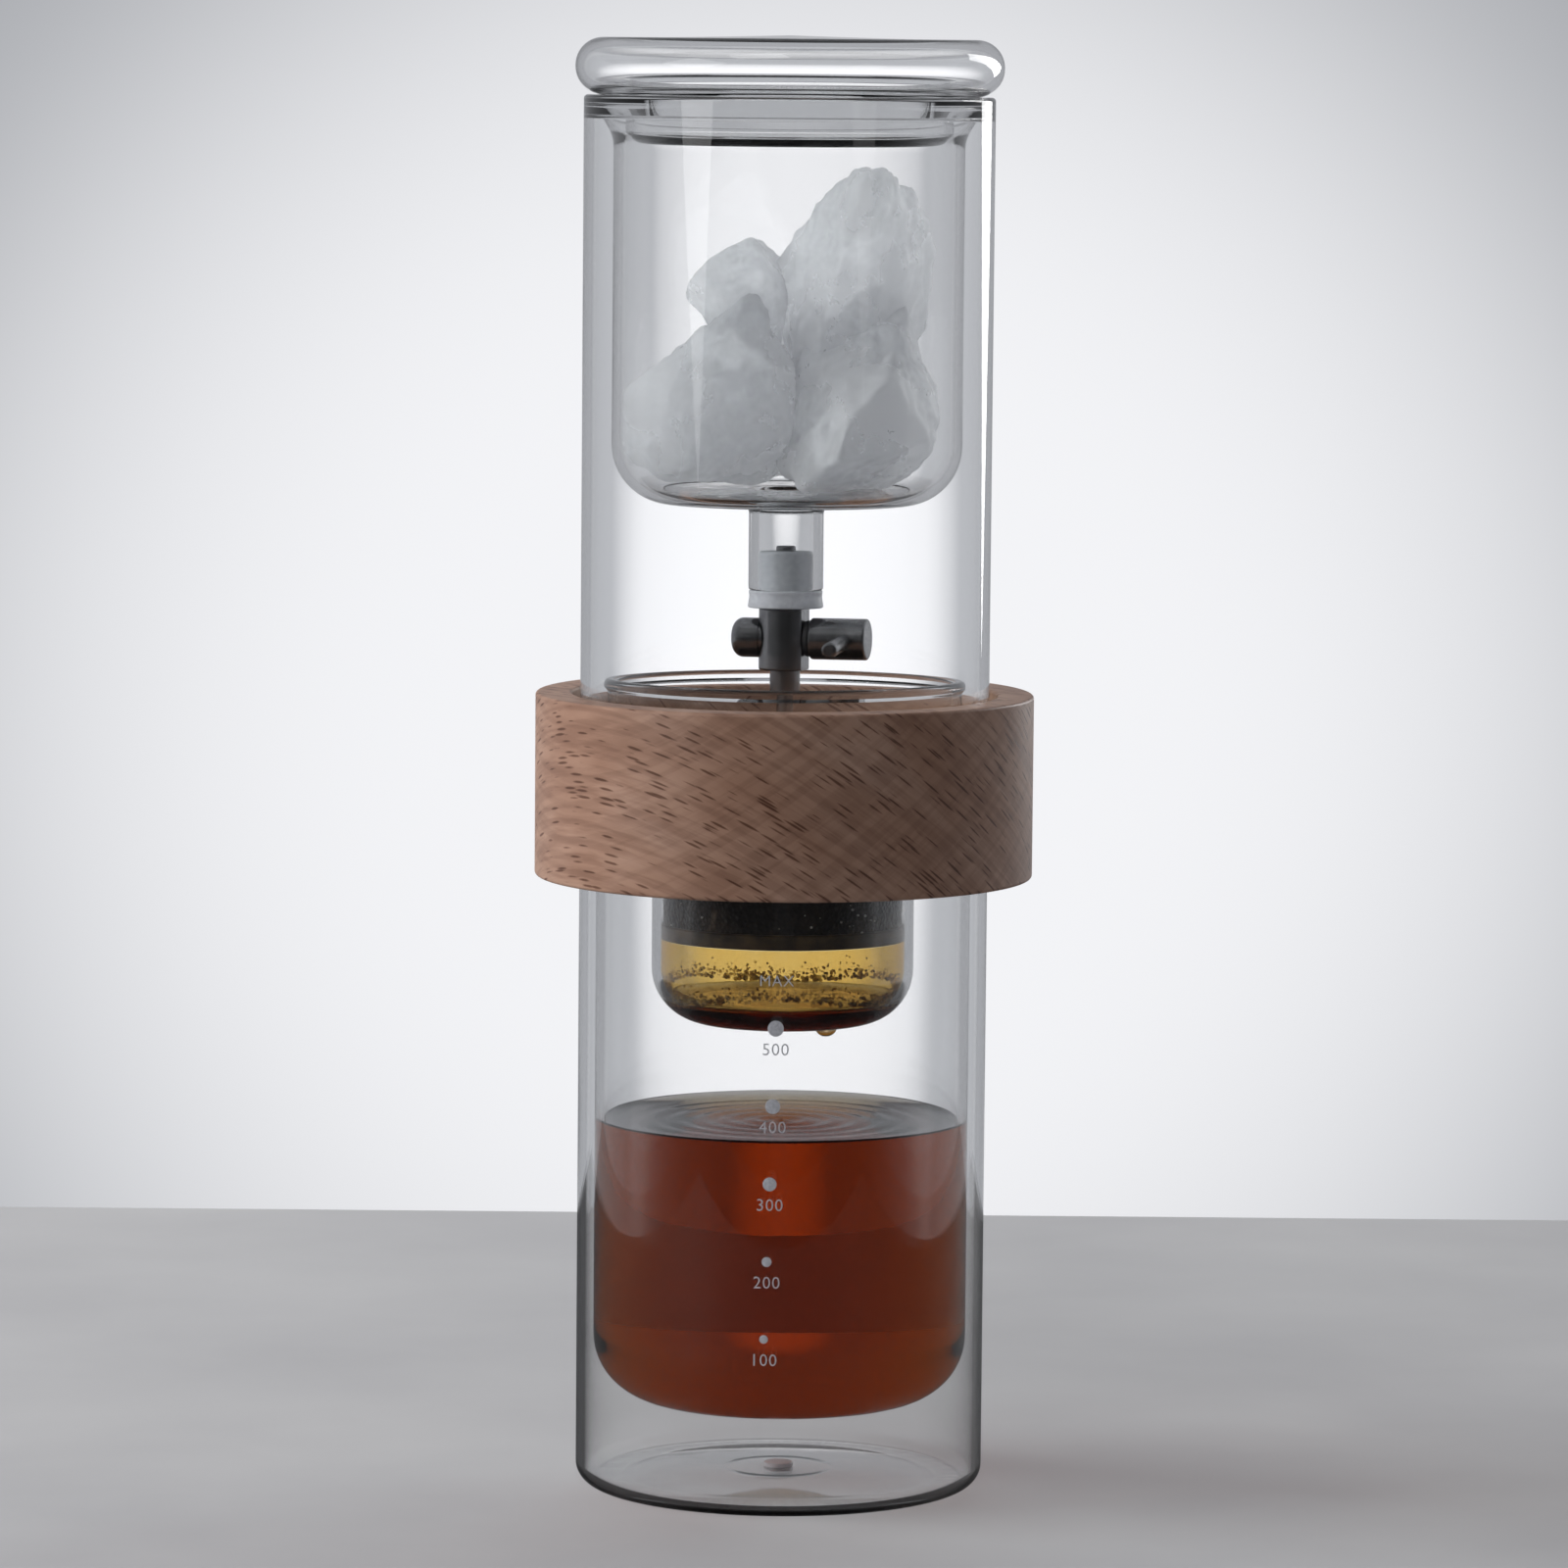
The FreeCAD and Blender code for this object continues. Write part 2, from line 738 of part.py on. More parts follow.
def valve_knob():
    """Round knob pressed on the plug, with a bevelled end and a tapped hole for the lever."""
    start = knob_start
    end = start + knob_length
    knob = turned_across([
        (start, 0),
        (start, knob_diameter / 2, knob_edge),
        (end, knob_diameter / 2, knob_edge),
        (end, 0),
    ])
    seat = Part.makeCylinder(plug_radius, plug_end - start, FreeCAD.Vector(start, 0, 0), ALONG)
    tapped = Part.makeCylinder(lever_diameter / 2, knob_diameter,
                               FreeCAD.Vector(lever_place, -knob_diameter / 2 + lever_screw_depth, 0),
                               FreeCAD.Vector(0, -1, 0))
    return seated_valve_piece(knob.cut([seat, lever_axis_turned(tapped)]))


def lever_pin():
    """Round pin screwed into the knob, with a rounded tip."""
    start = -knob_diameter / 2 + lever_screw_depth
    pin = Part.makeCylinder(lever_diameter / 2, lever_length + start,
                            FreeCAD.Vector(lever_place, start, 0), FreeCAD.Vector(0, -1, 0))
    tip_edge = [edge for edge in pin.Edges if abs(edge.CenterOfMass.y + lever_length) < 0.01]
    pin = pin.makeFillet(lever_diameter / 5, tip_edge)
    return seated_valve_piece(lever_axis_turned(pin))


def spout():
    """Outlet piece screwed into the body, with a groove above its end ring."""
    outer = spout_diameter / 2
    bore = nozzle_diameter / 2
    waterway = inlet_bore / 2
    ring_bottom = spout_end - spout_ring_height
    groove_top = spout_end + spout_groove_height
    socket_top = ring_bottom + nozzle_socket
    return turned([
        (waterway, body_bottom + spout_socket),
        (spout_seat_radius, body_bottom + spout_socket),
        (spout_seat_radius, body_bottom),
        (outer, body_bottom),
        (outer, groove_top),
        (outer - spout_groove, groove_top),
        (outer - spout_groove, spout_end),
        (outer, spout_end),
        (outer, ring_bottom, 0.3),
        (bore, ring_bottom),
        (bore, socket_top),
        (waterway, socket_top),
    ])


def drip_nozzle():
    """Thin drip tube pressed into the spout, with its end cut back to a drip edge."""
    outer = nozzle_diameter / 2
    ring_bottom = spout_end - spout_ring_height
    socket_top = ring_bottom + nozzle_socket
    return turned([
        (nozzle_bore / 2, nozzle_end + 0.6),
        (nozzle_bore / 2 + 0.3, nozzle_end),
        (outer - 0.4, nozzle_end, 0.2),
        (outer, nozzle_end + 1.2, 0.6),
        (outer, socket_top),
        (nozzle_bore / 2, socket_top),
    ])


def main():
    os.makedirs("parts", exist_ok=True)
    save("carafe_glass", carafe_glass())
    save("carafe_vent_plug", carafe_vent_plug())
    save("brewed_coffee", brewed_coffee())
    save("wooden_collar", wooden_collar())
    save("drip_cup_glass", drip_cup_glass())
    save("cup_coffee", cup_coffee())
    save("filter_plate", filter_plate())
    save("filter_seal", filter_seal())
    save("coffee_grounds", coffee_grounds())
    save("chamber_glass", chamber_glass())
    pile = ice_pile()
    for name, lump in pile:
        save(name, lump)
    save("melt_water", melt_water(pile))
    save("lid_glass", lid_glass())
    save("valve_stopper", valve_stopper())
    save("inlet_tube", inlet_tube())
    save("valve_body", valve_body())
    save("valve_cap", valve_cap())
    save("valve_plug", valve_plug())
    save("plug_clip", plug_clip())
    save("plug_orings", plug_orings())
    save("stem_washer", stem_washer())
    save("valve_knob", valve_knob())
    save("lever_pin", lever_pin())
    save("spout", spout())
    save("drip_nozzle", drip_nozzle())


main()
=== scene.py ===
import math

import bmesh
import bpy
import numpy as np
from mathutils import Euler, Matrix, Vector


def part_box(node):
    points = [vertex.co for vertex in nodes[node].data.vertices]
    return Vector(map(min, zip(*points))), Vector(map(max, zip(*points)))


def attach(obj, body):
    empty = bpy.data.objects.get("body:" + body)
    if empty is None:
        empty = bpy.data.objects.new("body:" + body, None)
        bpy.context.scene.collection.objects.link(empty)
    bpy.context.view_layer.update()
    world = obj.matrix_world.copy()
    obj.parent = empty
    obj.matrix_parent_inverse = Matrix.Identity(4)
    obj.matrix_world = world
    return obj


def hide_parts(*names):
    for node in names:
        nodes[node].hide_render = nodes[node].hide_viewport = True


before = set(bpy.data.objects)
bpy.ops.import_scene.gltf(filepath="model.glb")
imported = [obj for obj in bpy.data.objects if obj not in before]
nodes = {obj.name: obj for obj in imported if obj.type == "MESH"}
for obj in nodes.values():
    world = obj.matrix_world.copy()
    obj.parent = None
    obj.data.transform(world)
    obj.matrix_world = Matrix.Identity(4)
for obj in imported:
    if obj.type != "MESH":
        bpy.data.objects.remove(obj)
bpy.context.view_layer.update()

# Camera: a long lens a little above the lid, tipped down. Distances are in metres.
# The photograph leans by half a degree, so the camera is rolled as much.
camera_distance = 1.760
camera_height = 0.342
camera_tip = math.radians(5.71)
camera_roll = math.radians(0.5)
camera_data = bpy.data.cameras.new("camera")
camera_data.sensor_width = 36.0
camera_data.lens = 172.8
camera_data.clip_end = 60.0
camera = bpy.data.objects.new("camera", camera_data)
looking = Euler((math.pi / 2 - camera_tip, 0, 0)).to_matrix().to_4x4()
camera.matrix_world = (Matrix.Translation((0, -camera_distance, camera_height)) @ looking
                       @ Matrix.Rotation(camera_roll, 4, "Z"))
bpy.context.collection.objects.link(camera)
scene = bpy.context.scene
scene.camera = camera
scene.view_settings.view_transform = "Standard"

# A line of sight through the tower crosses up to twenty-two surfaces of glass and liquid.
scene.cycles.max_bounces = 28
scene.cycles.transmission_bounces = 28
scene.cycles.transparent_max_bounces = 16


# Studio: a plain pale table and a pale wall of light, with a soft bright spot on each of four sides.
# Seen through glass the wall is a little brighter, for what the glass takes. Mirrored, it is dark on
# the camera's side, as the room in front of the tower is.
def make_world():
    wall_grey = (0.41, 0.42, 0.445, 1)
    wall_bright = (0.90, 0.905, 0.93, 1)
    through_glass = 1.32
    mirrored_front, mirrored_back = 0.04, 0.95
    plain_light = (0.09, 0.09, 0.095, 1)
    world = bpy.data.worlds.new("studio")
    scene.world = world
    world.use_nodes = True
    tree = world.node_tree
    tree.nodes.clear()
    out = tree.nodes.new("ShaderNodeOutputWorld")
    coords = tree.nodes.new("ShaderNodeTexCoord")
    spot = None
    for bearing, share in ((90, 1.0), (270, 0.75), (0, 0.7), (180, 0.8)):
        around = math.radians(bearing)
        direction = Vector((math.cos(around), math.sin(around), -0.09)).normalized()
        dot = tree.nodes.new("ShaderNodeVectorMath")
        dot.operation = "DOT_PRODUCT"
        dot.inputs[1].default_value = direction
        tree.links.new(coords.outputs["Generated"], dot.inputs[0])
        edge = tree.nodes.new("ShaderNodeMapRange")
        edge.interpolation_type = "SMOOTHSTEP"
        edge.inputs["From Min"].default_value = 0.9890
        edge.inputs["From Max"].default_value = 0.9995
        edge.inputs["To Max"].default_value = share
        tree.links.new(dot.outputs["Value"], edge.inputs["Value"])
        if spot is None:
            spot = edge.outputs["Result"]
        else:
            both = tree.nodes.new("ShaderNodeMath")
            both.operation = "MAXIMUM"
            tree.links.new(spot, both.inputs[0])
            tree.links.new(edge.outputs["Result"], both.inputs[1])
            spot = both.outputs[0]
    wall = tree.nodes.new("ShaderNodeMix")
    wall.data_type = "RGBA"
    wall.inputs["A"].default_value = wall_grey
    wall.inputs["B"].default_value = wall_bright
    tree.links.new(spot, wall.inputs["Factor"])
    seen = tree.nodes.new("ShaderNodeBackground")
    tree.links.new(wall.outputs["Result"], seen.inputs["Color"])
    plain = tree.nodes.new("ShaderNodeBackground")
    plain.inputs["Color"].default_value = plain_light
    path = tree.nodes.new("ShaderNodeLightPath")
    away = tree.nodes.new("ShaderNodeSeparateXYZ")
    tree.links.new(coords.outputs["Generated"], away.inputs["Vector"])
    mirrored = tree.nodes.new("ShaderNodeMapRange")
    mirrored.interpolation_type = "SMOOTHSTEP"
    mirrored.inputs["From Min"].default_value = -0.75
    mirrored.inputs["From Max"].default_value = 0.35
    mirrored.inputs["To Min"].default_value = mirrored_front
    mirrored.inputs["To Max"].default_value = mirrored_back
    tree.links.new(away.outputs["Y"], mirrored.inputs["Value"])
    straight = tree.nodes.new("ShaderNodeMapRange")
    straight.inputs["To Min"].default_value = 1.0
    straight.inputs["To Max"].default_value = through_glass
    tree.links.new(path.outputs["Is Transmission Ray"], straight.inputs["Value"])
    level = tree.nodes.new("ShaderNodeMix")
    level.data_type = "FLOAT"
    level.clamp_factor = True
    tree.links.new(path.outputs["Glossy Depth"], level.inputs["Factor"])
    tree.links.new(straight.outputs["Result"], level.inputs["A"])
    tree.links.new(mirrored.outputs["Result"], level.inputs["B"])
    tree.links.new(level.outputs["Result"], seen.inputs["Strength"])
    mix = tree.nodes.new("ShaderNodeMixShader")
    tree.links.new(path.outputs["Is Diffuse Ray"], mix.inputs[0])
    tree.links.new(seen.outputs[0], mix.inputs[1])
    tree.links.new(plain.outputs[0], mix.inputs[2])
    tree.links.new(mix.outputs[0], out.inputs["Surface"])


make_world()


def material(name, colour, rough, metal=0.0, clear=0.0, index=1.45):
    """Material with one Principled shader. Returns the material and the shader."""
    made = bpy.data.materials.new(name)
    made.use_nodes = True
    shader = made.node_tree.nodes["Principled BSDF"]
    shader.inputs["Base Color"].default_value = (*colour, 1)
    shader.inputs["Roughness"].default_value = rough
    shader.inputs["Metallic"].default_value = metal
    shader.inputs["Transmission Weight"].default_value = clear
    shader.inputs["IOR"].default_value = index
    return made, shader


def object_pattern(made, kind, scale, stretch=(1, 1, 1), turn=(0, 0, 0), **settings):
    """Pattern node of a kind, read from the object's own coordinates. Scale is in repeats per metre."""
    tree = made.node_tree
    coords = tree.nodes.new("ShaderNodeTexCoord")
    mapping = tree.nodes.new("ShaderNodeMapping")
    mapping.inputs["Scale"].default_value = stretch
    mapping.inputs["Rotation"].default_value = turn
    tree.links.new(coords.outputs["Object"], mapping.inputs["Vector"])
    pattern = tree.nodes.new(kind)
    tree.links.new(mapping.outputs["Vector"], pattern.inputs["Vector"])
    if "Scale" in pattern.inputs:
        pattern.inputs["Scale"].default_value = scale
    for key, value in settings.items():
        if key in pattern.inputs:
            pattern.inputs[key].default_value = value
        else:
            setattr(pattern, key, value)
    return pattern


def ramp(made, source, stops, interpolation="LINEAR"):
    """Colour ramp from a value, with stops as (place, colour)."""
    node = made.node_tree.nodes.new("ShaderNodeValToRGB")
    node.color_ramp.interpolation = interpolation
    while len(node.color_ramp.elements) < len(stops):
        node.color_ramp.elements.new(0.5)
    for element, (place, colour) in zip(node.color_ramp.elements, stops):
        element.position = place
        element.color = (*colour, 1)
    made.node_tree.links.new(source, node.inputs["Fac"])
    return node.outputs["Color"]


def bump(made, shader, source, strength, depth):
    """Raises the surface by a pattern. Depth is in metres."""
    node = made.node_tree.nodes.new("ShaderNodeBump")
    node.inputs["Strength"].default_value = strength
    node.inputs["Distance"].default_value = depth
    made.node_tree.links.new(source, node.inputs["Height"])
    made.node_tree.links.new(node.outputs["Normal"], shader.inputs["Normal"])
    return node


def span(made, source, low, high, from_low=0.0, from_high=1.0):
    """Value carried from one range to another."""
    node = made.node_tree.nodes.new("ShaderNodeMapRange")
    node.inputs["From Min"].default_value = from_low
    node.inputs["From Max"].default_value = from_high
    node.inputs["To Min"].default_value = low
    node.inputs["To Max"].default_value = high
    made.node_tree.links.new(source, node.inputs["Value"])
    return node.outputs["Result"]


def put_in_scene(name, mesh, made):
    """Object of a mesh with one material, at the origin."""
    thing = bpy.data.objects.new(name, mesh)
    mesh.materials.append(made)
    bpy.context.collection.objects.link(thing)
    return thing


def make_floor():
    half = 0.405
    mesh = bpy.data.meshes.new("floor")
    corners = [(-half, -half, 0), (half, -half, 0), (half, half, 0), (-half, half, 0)]
    mesh.from_pydata(corners, [], [(0, 1, 2, 3)])
    stone, shader = material("pale_table", (0.50, 0.50, 0.51), 0.75)
    tree = stone.node_tree
    cloud = object_pattern(stone, "ShaderNodeTexNoise", 9.0, Detail=6.0)
    tone = ramp(stone, cloud.outputs["Fac"], [(0.3, (0.46, 0.46, 0.475)), (0.7, (0.53, 0.53, 0.54))])
    # Seen in a mirror the table's colour is painted near-black: a painted dark reflection of the table, not
    # its own colour.
    path = tree.nodes.new("ShaderNodeLightPath")
    painted_dark_reflection = tree.nodes.new("ShaderNodeMix")
    painted_dark_reflection.data_type = "RGBA"
    painted_dark_reflection.clamp_factor = True
    painted_dark_reflection.inputs["B"].default_value = (0.05, 0.05, 0.052, 1)
    tree.links.new(path.outputs["Glossy Depth"], painted_dark_reflection.inputs["Factor"])
    tree.links.new(tone, painted_dark_reflection.inputs["A"])
    tree.links.new(painted_dark_reflection.outputs["Result"], shader.inputs["Base Color"])
    put_in_scene("floor", mesh, stone)


make_floor()


def softbox(name, bearing, distance, low, high, width, power, in_glass=True):
    """Upright area lamp aimed at the tower. Bearing is in degrees to the right of the camera."""
    lamp = bpy.data.lights.new(name, "AREA")
    lamp.shape = "RECTANGLE"
    lamp.size = width
    lamp.size_y = high - low
    lamp.energy = power
    angle = math.radians(bearing)
    place = Vector((math.sin(angle) * distance, -math.cos(angle) * distance, (low + high) / 2))
    holder = bpy.data.objects.new(name, lamp)
    holder.location = place
    aim = Vector((0, 0, place.z * 0.5 + 0.08)) - place
    holder.rotation_euler = aim.to_track_quat("-Z", "Z").to_euler()
    holder.visible_glossy = in_glass
    holder.visible_camera = False
    holder.visible_transmission = False
    bpy.context.collection.objects.link(holder)


softbox("key_left", -53, 2.0, 0.26, 1.25, 0.95, 7)
softbox("side_left", -92, 1.5, 0.10, 1.30, 1.1, 27, in_glass=False)
softbox("fill_right", 42, 2.2, 0.26, 0.9, 0.6, 1)
softbox("rim_right", 136, 1.8, 0.0, 1.3, 0.5, 10)
softbox("top_back", 180, 1.2, 0.9, 1.5, 1.2, 8, in_glass=False)
softbox("overhead_front", -20, 1.1, 1.1, 1.6, 0.7, 3)


# Carafe: one piece of borosilicate glass, an outer and an inner vessel fused at the rim. The base is
# dished, with a small vent in the middle. It stands on the table and carries the rest of the tower.
def corner_arcs(points, step=math.radians(7)):
    """Polyline through (radius, height) or (radius, height, corner) points: each corner is an arc that is
    tangent to both its sides, with centre on the corner's bisector and one point for every step of turn."""
    line = []
    for index, point in enumerate(points):
        here = np.array(point[:2], float)
        if len(point) < 3 or point[2] <= 0:
            line.append(here[None])
            continue
        corner = point[2]
        back = np.array(points[index - 1][:2], float) - here
        ahead = np.array(points[(index + 1) % len(points)][:2], float) - here
        back /= np.linalg.norm(back)
        ahead /= np.linalg.norm(ahead)
        half = math.acos(np.clip(back @ ahead, -1, 1)) / 2
        bisector = (back + ahead) / np.linalg.norm(back + ahead)
        centre = here + bisector * corner / math.sin(half)
        first = here + back * corner / math.tan(half) - centre
        last = here + ahead * corner / math.tan(half) - centre
        start = math.atan2(first[1], first[0])
        turn = (math.atan2(last[1], last[0]) - start + math.pi) % (2 * math.pi) - math.pi
        angles = start + turn * np.linspace(0, 1, max(3, int(abs(turn) / step) + 2))
        line.append(centre + corner * np.stack([np.cos(angles), np.sin(angles)], 1))
    return np.concatenate(line)


def grid_mesh(name, grid, loop_rows=False, loop_columns=True, sharp=math.radians(38)):
    """Mesh of a grid of points (rows, columns, 3). A quad joins neighbours, and rows or columns may close in
    a loop. Points that fall together, as at a pole, are merged."""
    rows, columns = grid.shape[:2]
    i, j = np.meshgrid(np.arange(rows - (not loop_rows)), np.arange(columns - (not loop_columns)),
                       indexing="ij")
    i2, j2 = (i + 1) % rows, (j + 1) % columns
    quads = np.stack([i * columns + j, i * columns + j2, i2 * columns + j2, i2 * columns + j], -1)
    quads = quads.reshape(-1, 4)
    mesh = bpy.data.meshes.new(name)
    mesh.vertices.add(rows * columns)
    mesh.vertices.foreach_set("co", grid.reshape(-1).astype(np.float32))
    mesh.loops.add(quads.size)
    mesh.loops.foreach_set("vertex_index", quads.reshape(-1).astype(np.int32))
    mesh.polygons.add(len(quads))
    mesh.polygons.foreach_set("loop_start", (np.arange(len(quads)) * 4).astype(np.int32))
    mesh.update()
    edit = bmesh.new()
    edit.from_mesh(mesh)
    bmesh.ops.remove_doubles(edit, verts=edit.verts, dist=1e-6)
    bmesh.ops.dissolve_degenerate(edit, edges=edit.edges, dist=1e-7)
    edit.to_mesh(mesh)
    edit.free()
    mesh.shade_smooth()
    mesh.set_sharp_from_angle(angle=sharp)
    return mesh


def turned(name, points, closed=False, around=168, sharp=math.radians(38)):
    """Surface of revolution: point (r, z) of the outline at angle a goes to (r cos a, r sin a, z). The
    outline runs up the outside and down the inside, so that faces point out. Sizes are in millimetres."""
    line = corner_arcs(points) / 1000
    angle = np.linspace(0, 2 * np.pi, around, endpoint=False)
    r, z = line[:, :1], line[:, 1:]
    grid = np.stack([r * np.cos(angle), r * np.sin(angle), z + 0 * angle], -1)
    return grid_mesh(name, grid, loop_rows=closed, sharp=sharp)


def let_lamps_through(made, shader, tint):
    """Lets lamp light pass a clear material straight on, tinted, so that what is inside is lit."""
    tree = made.node_tree
    out = tree.nodes["Material Output"]
    path = tree.nodes.new("ShaderNodeLightPath")
    open_way = tree.nodes.new("ShaderNodeBsdfTransparent")
    open_way.inputs["Color"].default_value = (*tint, 1)
    mix = tree.nodes.new("ShaderNodeMixShader")
    tree.links.new(path.outputs["Is Shadow Ray"], mix.inputs[0])
    tree.links.new(shader.outputs[0], mix.inputs[1])
    tree.links.new(open_way.outputs[0], mix.inputs[2])
    tree.links.new(mix.outputs[0], out.inputs["Surface"])


def soak(made, colour, density):
    """Fills a clear material with a plain absorbing volume. Density is per metre."""
    volume = made.node_tree.nodes.new("ShaderNodeVolumeAbsorption")
    volume.inputs["Color"].default_value = (*colour, 1)
    volume.inputs["Density"].default_value = density
    made.node_tree.links.new(volume.outputs[0], made.node_tree.nodes["Material Output"].inputs["Volume"])


def blown_glass():
    """Clear borosilicate glass: faint draw waves in the surface and a grey-green depth at the edges."""
    made, shader = material("blown_glass", (1.0, 1.0, 1.0), 0.0, clear=1.0, index=1.47)
    wave = object_pattern(made, "ShaderNodeTexNoise", 26.0, stretch=(1, 1, 0.35), Detail=2.0)
    bump(made, shader, wave.outputs["Fac"], 0.12, 0.0008)
    let_lamps_through(made, shader, (0.95, 0.96, 0.96))
    soak(made, (0.46, 0.52, 0.51), 4.0)
    return made


glass = blown_glass()
carafe_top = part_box("carafe_glass")[1][2] * 1000
carafe_radius = 48.0
carafe_wall, carafe_gap = 2.0, 2.0
dish_rise, base_wall = 1.6, 2.2
dish_inner, dish_outer, dish_blend = 12, 36, 25
vessel_lift, carafe_corner = 20.3, 14
vent_radius = 2.5
gap_top = carafe_top - 4.5
carafe_bore = carafe_radius - 2 * carafe_wall - carafe_gap
carafe_floor = vessel_lift + carafe_wall
carafe = put_in_scene("carafe", turned("carafe", [
    (0, vessel_lift),
    (carafe_bore + carafe_wall, vessel_lift, carafe_corner + carafe_wall),
    (carafe_bore + carafe_wall, gap_top, 1),
    (carafe_radius - carafe_wall, gap_top, 1),
    (carafe_radius - carafe_wall, base_wall, 3),
    (dish_outer, base_wall, dish_blend),
    (dish_inner, dish_rise + base_wall, dish_blend),
    (vent_radius, dish_rise + base_wall),
    (vent_radius, dish_rise),
    (dish_inner, dish_rise, dish_blend),
    (dish_outer, 0, dish_blend),
    (carafe_radius, 0, 5),
    (carafe_radius, carafe_top, 2.5),
    (carafe_bore, carafe_top, 2.5),
    (carafe_bore, carafe_floor, carafe_corner),
    (0, carafe_floor),
], around=224), glass)
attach(carafe, "carafe")
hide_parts("carafe_glass")


# Vent plug: a small button of translucent silicone that closes the vent after the gap has been dried.
def silicone():
    """Milky silicone: soft light passes into it, and fine dust dulls its skin."""
    made, shader = material("milky_silicone", (0.60, 0.61, 0.65), 0.38, clear=0.45, index=1.41)
    grain = object_pattern(made, "ShaderNodeTexNoise", 900.0, Detail=3.0)
    tone = ramp(made, grain.outputs["Fac"], [(0.3, (0.52, 0.53, 0.57)), (0.7, (0.64, 0.65, 0.68))])
    made.node_tree.links.new(tone, shader.inputs["Base Color"])
    made.node_tree.links.new(span(made, grain.outputs["Fac"], 0.3, 0.5), shader.inputs["Roughness"])
    bump(made, shader, grain.outputs["Fac"], 0.15, 0.0002)
    return made


rubber_white = silicone()
lip_radius, lip_height, plug_gap = vent_radius + 1.0, 1.0, 0.02
vent_plug = put_in_scene("vent_plug", turned("vent_plug", [
    (0, dish_rise - lip_height),
    (lip_radius, dish_rise - lip_height, 0.4),
    (lip_radius, dish_rise - plug_gap),
    (vent_radius - plug_gap, dish_rise - plug_gap),
    (vent_radius - plug_gap, dish_rise + base_wall + plug_gap),
    (lip_radius, dish_rise + base_wall + plug_gap),
    (lip_radius, dish_rise + base_wall + lip_height, 0.4),
    (0, dish_rise + base_wall + lip_height),
], around=48), rubber_white)
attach(vent_plug, "carafe")
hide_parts("carafe_vent_plug")


# Coffee in the carafe: clear red-brown liquid that wets the glass and climbs it a little. Rings run out
# from the middle, where the last drop fell.
coffee_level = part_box("brewed_coffee")[1][2] * 1000
meniscus_height, meniscus_reach = 1.1, 2.4
ring_length, ring_height, ring_fade = 6.2, 0.42, 16.0
swell_height = 0.05
wet_in = 0.25


def coffee_surface(r, angle):
    """Height of the liquid: the level, plus a cosine ring wave that dies with distance from the middle,
    plus a faint swell, plus a meniscus that rises as an exponential of the distance to the glass."""
    wave = ring_height * np.cos(2 * np.pi * r / ring_length) * np.exp(-r / ring_fade)
    wave = wave + swell_height * np.sin(3 * angle + r / 9)
    climb = meniscus_height * np.exp((r - carafe_bore) / meniscus_reach)
    return coffee_level + wave + climb


def coffee_mesh():
    """Floor, corner and wall of the fill as an outline turned round Z, then the waved surface on rings."""
    angle = np.linspace(0, 2 * np.pi, 192, endpoint=False)
    wall = carafe_bore + wet_in
    foot = carafe_floor - wet_in
    skin = corner_arcs([(0, foot), (wall, foot, carafe_corner), (wall, coffee_level)])
    rings = np.linspace(wall, 0, 120)
    r = np.concatenate([skin[:, 0], rings])[:, None]
    z = np.concatenate([skin[:, 1:] + 0 * angle, coffee_surface(rings[:, None], angle)])
    grid = np.stack([r * np.cos(angle), r * np.sin(angle), z], -1) / 1000
    return grid_mesh("coffee", grid)


def coffee_liquid(name, thickness=1.0):
    """Filtered coffee: it takes blue first, then green, so thin layers are amber and deep ones red-black."""
    made, shader = material(name, (1.0, 1.0, 1.0), 0.0, clear=1.0, index=1.335)
    dust = object_pattern(made, "ShaderNodeTexNoise", 60.0, Detail=2.0)
    bump(made, shader, dust.outputs["Fac"], 0.05, 0.0004)
    let_lamps_through(made, shader, (0.80, 0.42, 0.22))
    soak(made, (0.83, 0.58, 0.02), 112.0 * thickness)
    return made


coffee = put_in_scene("coffee", coffee_mesh(), coffee_liquid("brewed_coffee"))
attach(coffee, "carafe")
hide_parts("brewed_coffee")


# Printed scale: grey enamel fired on the front of the carafe. A dot and a number stand at each 100 ml,
# 18 mm apart. The dots get smaller and lean a little to the left downwards. A word marks the highest fill.
print_height = 0.04
scale_step = 18.05
scale_lowest = 42.2
number_drop = 3.3
number_size = 4.0
print_left, print_lean = -3.6, 0.55
word_size, word_left, word_height = 3.6, -1.3, 124.2
dot_radii = {100: 1.0, 200: 1.15, 300: 1.6, 400: 1.75, 500: 1.85}


def enamel():
    """Fired grey enamel with tiny pores."""
    made, shader = material("grey_enamel", (0.46, 0.47, 0.51), 0.5)
    pores = object_pattern(made, "ShaderNodeTexNoise", 1500.0, Detail=2.0)
    tone = ramp(made, pores.outputs["Fac"], [(0.35, (0.42, 0.43, 0.47)), (0.65, (0.54, 0.55, 0.59))])
    made.node_tree.links.new(tone, shader.inputs["Base Color"])
    return made


def wrapped(mesh, radius):
    """Wraps flat work round the tower: (x, y, z) in millimetres goes to the angle x / radius right of the
    front, at that radius plus z."""
    flat = np.empty(len(mesh.vertices) * 3, np.float32)
    mesh.vertices.foreach_get("co", flat)
    flat = flat.reshape(-1, 3)
    angle = flat[:, 0] / radius
    out = radius + flat[:, 2]
    bent = np.stack([out * np.sin(angle), -out * np.cos(angle), flat[:, 1]], 1) / 1000
    mesh.vertices.foreach_set("co", bent.reshape(-1).astype(np.float32))
    mesh.update()


